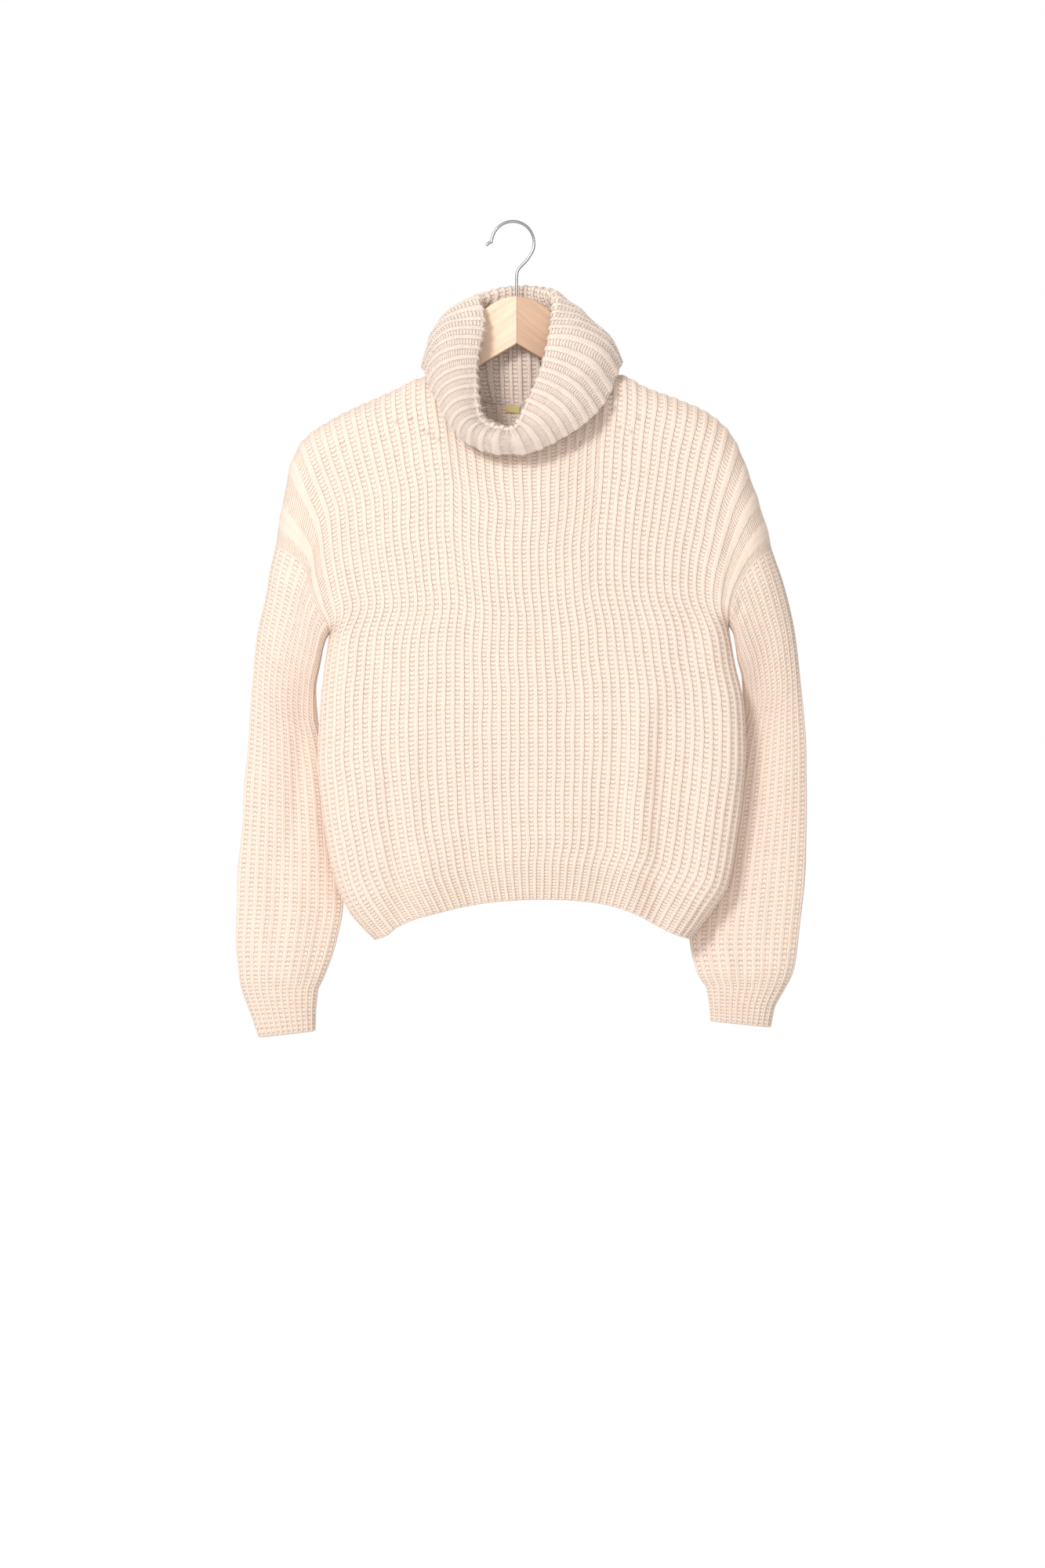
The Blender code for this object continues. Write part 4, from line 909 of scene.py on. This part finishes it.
# ---------------------------------------------------------------- roll collar
ribs = RIBS["collar"]
stations = ribs * FINE
turns = np.arange(stations) * 24.0 / stations
ends = {}
for side in ("front", "back"):
    n0, n1 = neck_shares(side)
    ends[side] = n0 + (n1 - n0) * np.linspace(0, 1, stations // 2 + 1)
front_seam = panel("front", [1.0], ends["front"])[0]
back_seam = panel("back", [1.0], ends["back"])[0]
seam = np.concatenate([front_seam, back_seam[::-1][1:-1]])
face = collar(turns, seam, (54, 6, 52))
n = normals_of(face, closed=True)
stand = face[:40]
if ((stand - stand.mean(axis=1, keepdims=True)) * [1, 1, 0] * n[:40]).sum() < 0:
    n = -n
u_ring = np.arange(stations + 1) / FINE
v_line = np.arange(len(face)) / 2.0
uneven = noise(face, 0.06, 3.3) * 0.0011 + noise(face, 0.028, 8.1) * 0.0004
rise = smooth_step(v_line / 3)[:, None]
relief = rib_height(u_ring[None, :-1], v_line[:, None], 0.0015, 0.00022) * rise
seen = face - n * (WALL + relief + uneven * rise)[..., None]
piece = shell("knit_roll_collar", seen, face, u_ring, v_line, closed=True, flip=True,
              step_rows=4, ends=(1,))
piece.data.materials.append(collar_look)
pieces["knit_roll_collar"] = piece

# ---------------------------------------------------------------- loose fibres
def hairs(name, roots, ways, lengths, look, thick=0.00016):
    """Short curved fibres standing off the knit, each three narrow faces long."""
    points, quads = [], []
    for k, (root, way, length) in enumerate(zip(roots, ways, lengths)):
        side = np.cross(way, [math.sin(k * 1.3), math.cos(k * 2.1), math.sin(k * 0.7 + 1)])
        side = side / max(np.linalg.norm(side), 1e-9)
        bend = np.cross(side, way) * length * 0.55 * math.sin(k * 2.7)
        drop = np.array([0, 0, -1]) * length * 0.25
        base = len(points)
        for s in range(4):
            f = s / 3
            at_s = root + way * length * f + (bend + drop) * f * f + side * length * 0.2 * math.sin(f * 3 + k)
            w = side * thick * (1 - 0.75 * f)
            points += [at_s - w, at_s + w]
        for s in range(3):
            a = base + 2 * s
            quads.append([a, a + 1, a + 3, a + 2])
    mesh = bpy.data.meshes.new(name)
    mesh.from_pydata([tuple(p) for p in points], [], quads)
    mesh.update()
    mesh.shade_smooth()
    mesh.materials.append(look)
    obj = bpy.data.objects.new(name, mesh)
    bpy.context.scene.collection.objects.link(obj)
    return obj


m = Nodes("loose_fibre_look")
m.shader.inputs["Base Color"].default_value = (0.93, 0.86, 0.79, 1)
m.shader.inputs["Roughness"].default_value = 0.9
m.shader.inputs["Sheen Weight"].default_value = 0.4
fibre_look = m.material

rng = np.random.default_rng(41)


def fuzz(name, surface, outward, count, longest, rows=None):
    r = rng.integers(1 if rows is None else rows[0], (surface.shape[0] - 1) if rows is None else rows[1], count)
    c = rng.integers(0, surface.shape[1], count)
    roots = surface[r, c]
    ways = unit(outward[r, c] * 0.75 + rng.normal(size=(count, 3)) * 0.55)
    lengths = longest * (0.35 + 0.65 * rng.random(count) ** 2)
    return hairs(name, roots, ways, lengths, fibre_look)


fuzz_pieces = {"knit_roll_collar": fuzz("fibres_collar", seen, -n, 5200, 0.0065, (50, 112))}

# ---------------------------------------------------------------- hook in the photograph's wire
centre = (654.2, 309.6)
path = [(620.2, 313.2), (621.2, 312.0), (623.0, 310.4), (624.9, 309.3)]
for a in np.radians(np.linspace(178, -38, 40)):
    path.append((centre[0] + HOOK_R * math.cos(a), centre[1] - HOOK_R * math.sin(a)))
path += [(673.0, 330.6), (669.6, 334.6), (666.0, 338.2), (662.6, 341.8), (660.4, 345.2),
         (659.3, 349.0), (659.0, 354.0), (659.0, 366.0), (659.0, 382.0), (659.0, 398.0)]
curve = bpy.data.curves.new("hook_wire", "CURVE")
curve.dimensions = "3D"
curve.bevel_depth = WIRE_R
curve.bevel_resolution = 6
curve.use_fill_caps = True
spline = curve.splines.new("POLY")
spline.points.add(len(path) - 1)
for p, (gx, gy) in zip(spline.points, path):
    x, y, z = at(gx, gy, 0)
    p.co = (x, y, z, 1)
wire = bpy.data.objects.new("hook_wire_curve", curve)
bpy.context.scene.collection.objects.link(wire)
bpy.context.view_layer.update()
mesh = bpy.data.meshes.new_from_object(wire.evaluated_get(bpy.context.evaluated_depsgraph_get()))
bpy.data.objects.remove(wire)
mesh.name = "hook_wire"
mesh.shade_smooth()
mesh.set_sharp_from_angle(angle=math.radians(40))
mesh.materials.clear()
mesh.materials.append(chrome)
hook = bpy.data.objects.new("hook_wire", mesh)
bpy.context.scene.collection.objects.link(hook)
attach(hook, "root")
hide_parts("hanger_hook")

# ---------------------------------------------------------------- what stands for what
STANDS_FOR = {"knit_front": "front_panel", "knit_back": "back_panel", "hem_front": "hem_rib_front",
              "hem_back": "hem_rib_back", "knit_sleeve_left": "sleeve_left",
              "knit_sleeve_right": "sleeve_right", "knit_cuff_left": "cuff_left",
              "knit_cuff_right": "cuff_right", "knit_roll_collar": "roll_collar"}
for name, piece in pieces.items():
    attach(piece, "root")
    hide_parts(STANDS_FOR[name])
for name, piece in fuzz_pieces.items():
    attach(piece, "root")

for node, look in (("hanger_arm_left", wood_left), ("hanger_arm_right", wood_right_shaded),
                   ("neck_label", label_look)):
    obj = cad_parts[node]
    if not obj.material_slots:
        obj.data.materials.append(look)
    for s in obj.material_slots:
        s.material = look

# ---------------------------------------------------------------- floor, light, camera
def plain(name, corners, colour):
    mesh = bpy.data.meshes.new(name)
    mesh.from_pydata(corners, [], [list(range(len(corners)))])
    mesh.update()
    m = Nodes(name + "_look")
    m.shader.inputs["Base Color"].default_value = (*colour, 1)
    m.shader.inputs["Roughness"].default_value = 0.95
    m.shader.inputs["Specular IOR Level"].default_value = 0.0
    mesh.materials.append(m.material)
    obj = bpy.data.objects.new(name, mesh)
    bpy.context.scene.collection.objects.link(obj)


FLOOR_Z = -1.70              # below the picture's lower edge, as far as a hanger's rail stands
plain("floor", [(-4, -5, FLOOR_Z), (4, -5, FLOOR_Z), (4, 1.1, FLOOR_Z), (-4, 1.1, FLOOR_Z)], (0.93, 0.93, 0.92))


def area_light(name, place, target, size, watts, colour=(1, 1, 1)):
    light = bpy.data.lights.new(name, "AREA")
    light.shape = "RECTANGLE"
    light.size, light.size_y = size
    light.energy = watts
    light.color = colour
    obj = bpy.data.objects.new(name, light)
    bpy.context.scene.collection.objects.link(obj)
    obj.visible_camera = False
    way = np.array(target) - np.array(place)
    obj.location = place
    obj.rotation_euler = Vector(way).to_track_quat("-Z", "Y").to_euler()
    return obj


area_light("key", (-1.25, -2.3, 0.85), (0.0, 0.0, -0.50), (0.7, 0.7), 57)
area_light("back", (1.2, 2.6, 0.9), (0.0, 0.0, -0.45), (1.2, 1.2), 38)
area_light("front", (0.3, -3.6, -0.2), (0.0, 0.0, -0.50), (2.2, 2.2), 20)

world = bpy.data.worlds.new("studio")
bpy.context.scene.world = world
world.use_nodes = True
# white from every side, and a softer light than it looks: 0.56 as light, 1.0 as the background
surround = world.node_tree.nodes["Background"]
surround.inputs[0].default_value = (1, 1, 1, 1)
level = world.node_tree.nodes.new("ShaderNodeMath")
level.operation = "MULTIPLY_ADD"
world.node_tree.links.new(world.node_tree.nodes.new("ShaderNodeLightPath").outputs["Is Camera Ray"],
                          level.inputs[0])
level.inputs[1].default_value, level.inputs[2].default_value = 0.44, 0.56
world.node_tree.links.new(level.outputs[0], surround.inputs[1])

camera = bpy.data.cameras.new("camera")
camera.lens = 87.8
camera.sensor_width = 36
camera.sensor_fit = "AUTO"
camera_object = bpy.data.objects.new("camera", camera)
bpy.context.scene.collection.objects.link(camera_object)
camera_object.location = (0.00615, -4.0, -0.5863)
camera_object.rotation_euler = (math.radians(90), 0, 0)
bpy.context.scene.camera = camera_object
bpy.context.scene.view_settings.view_transform = "Standard"
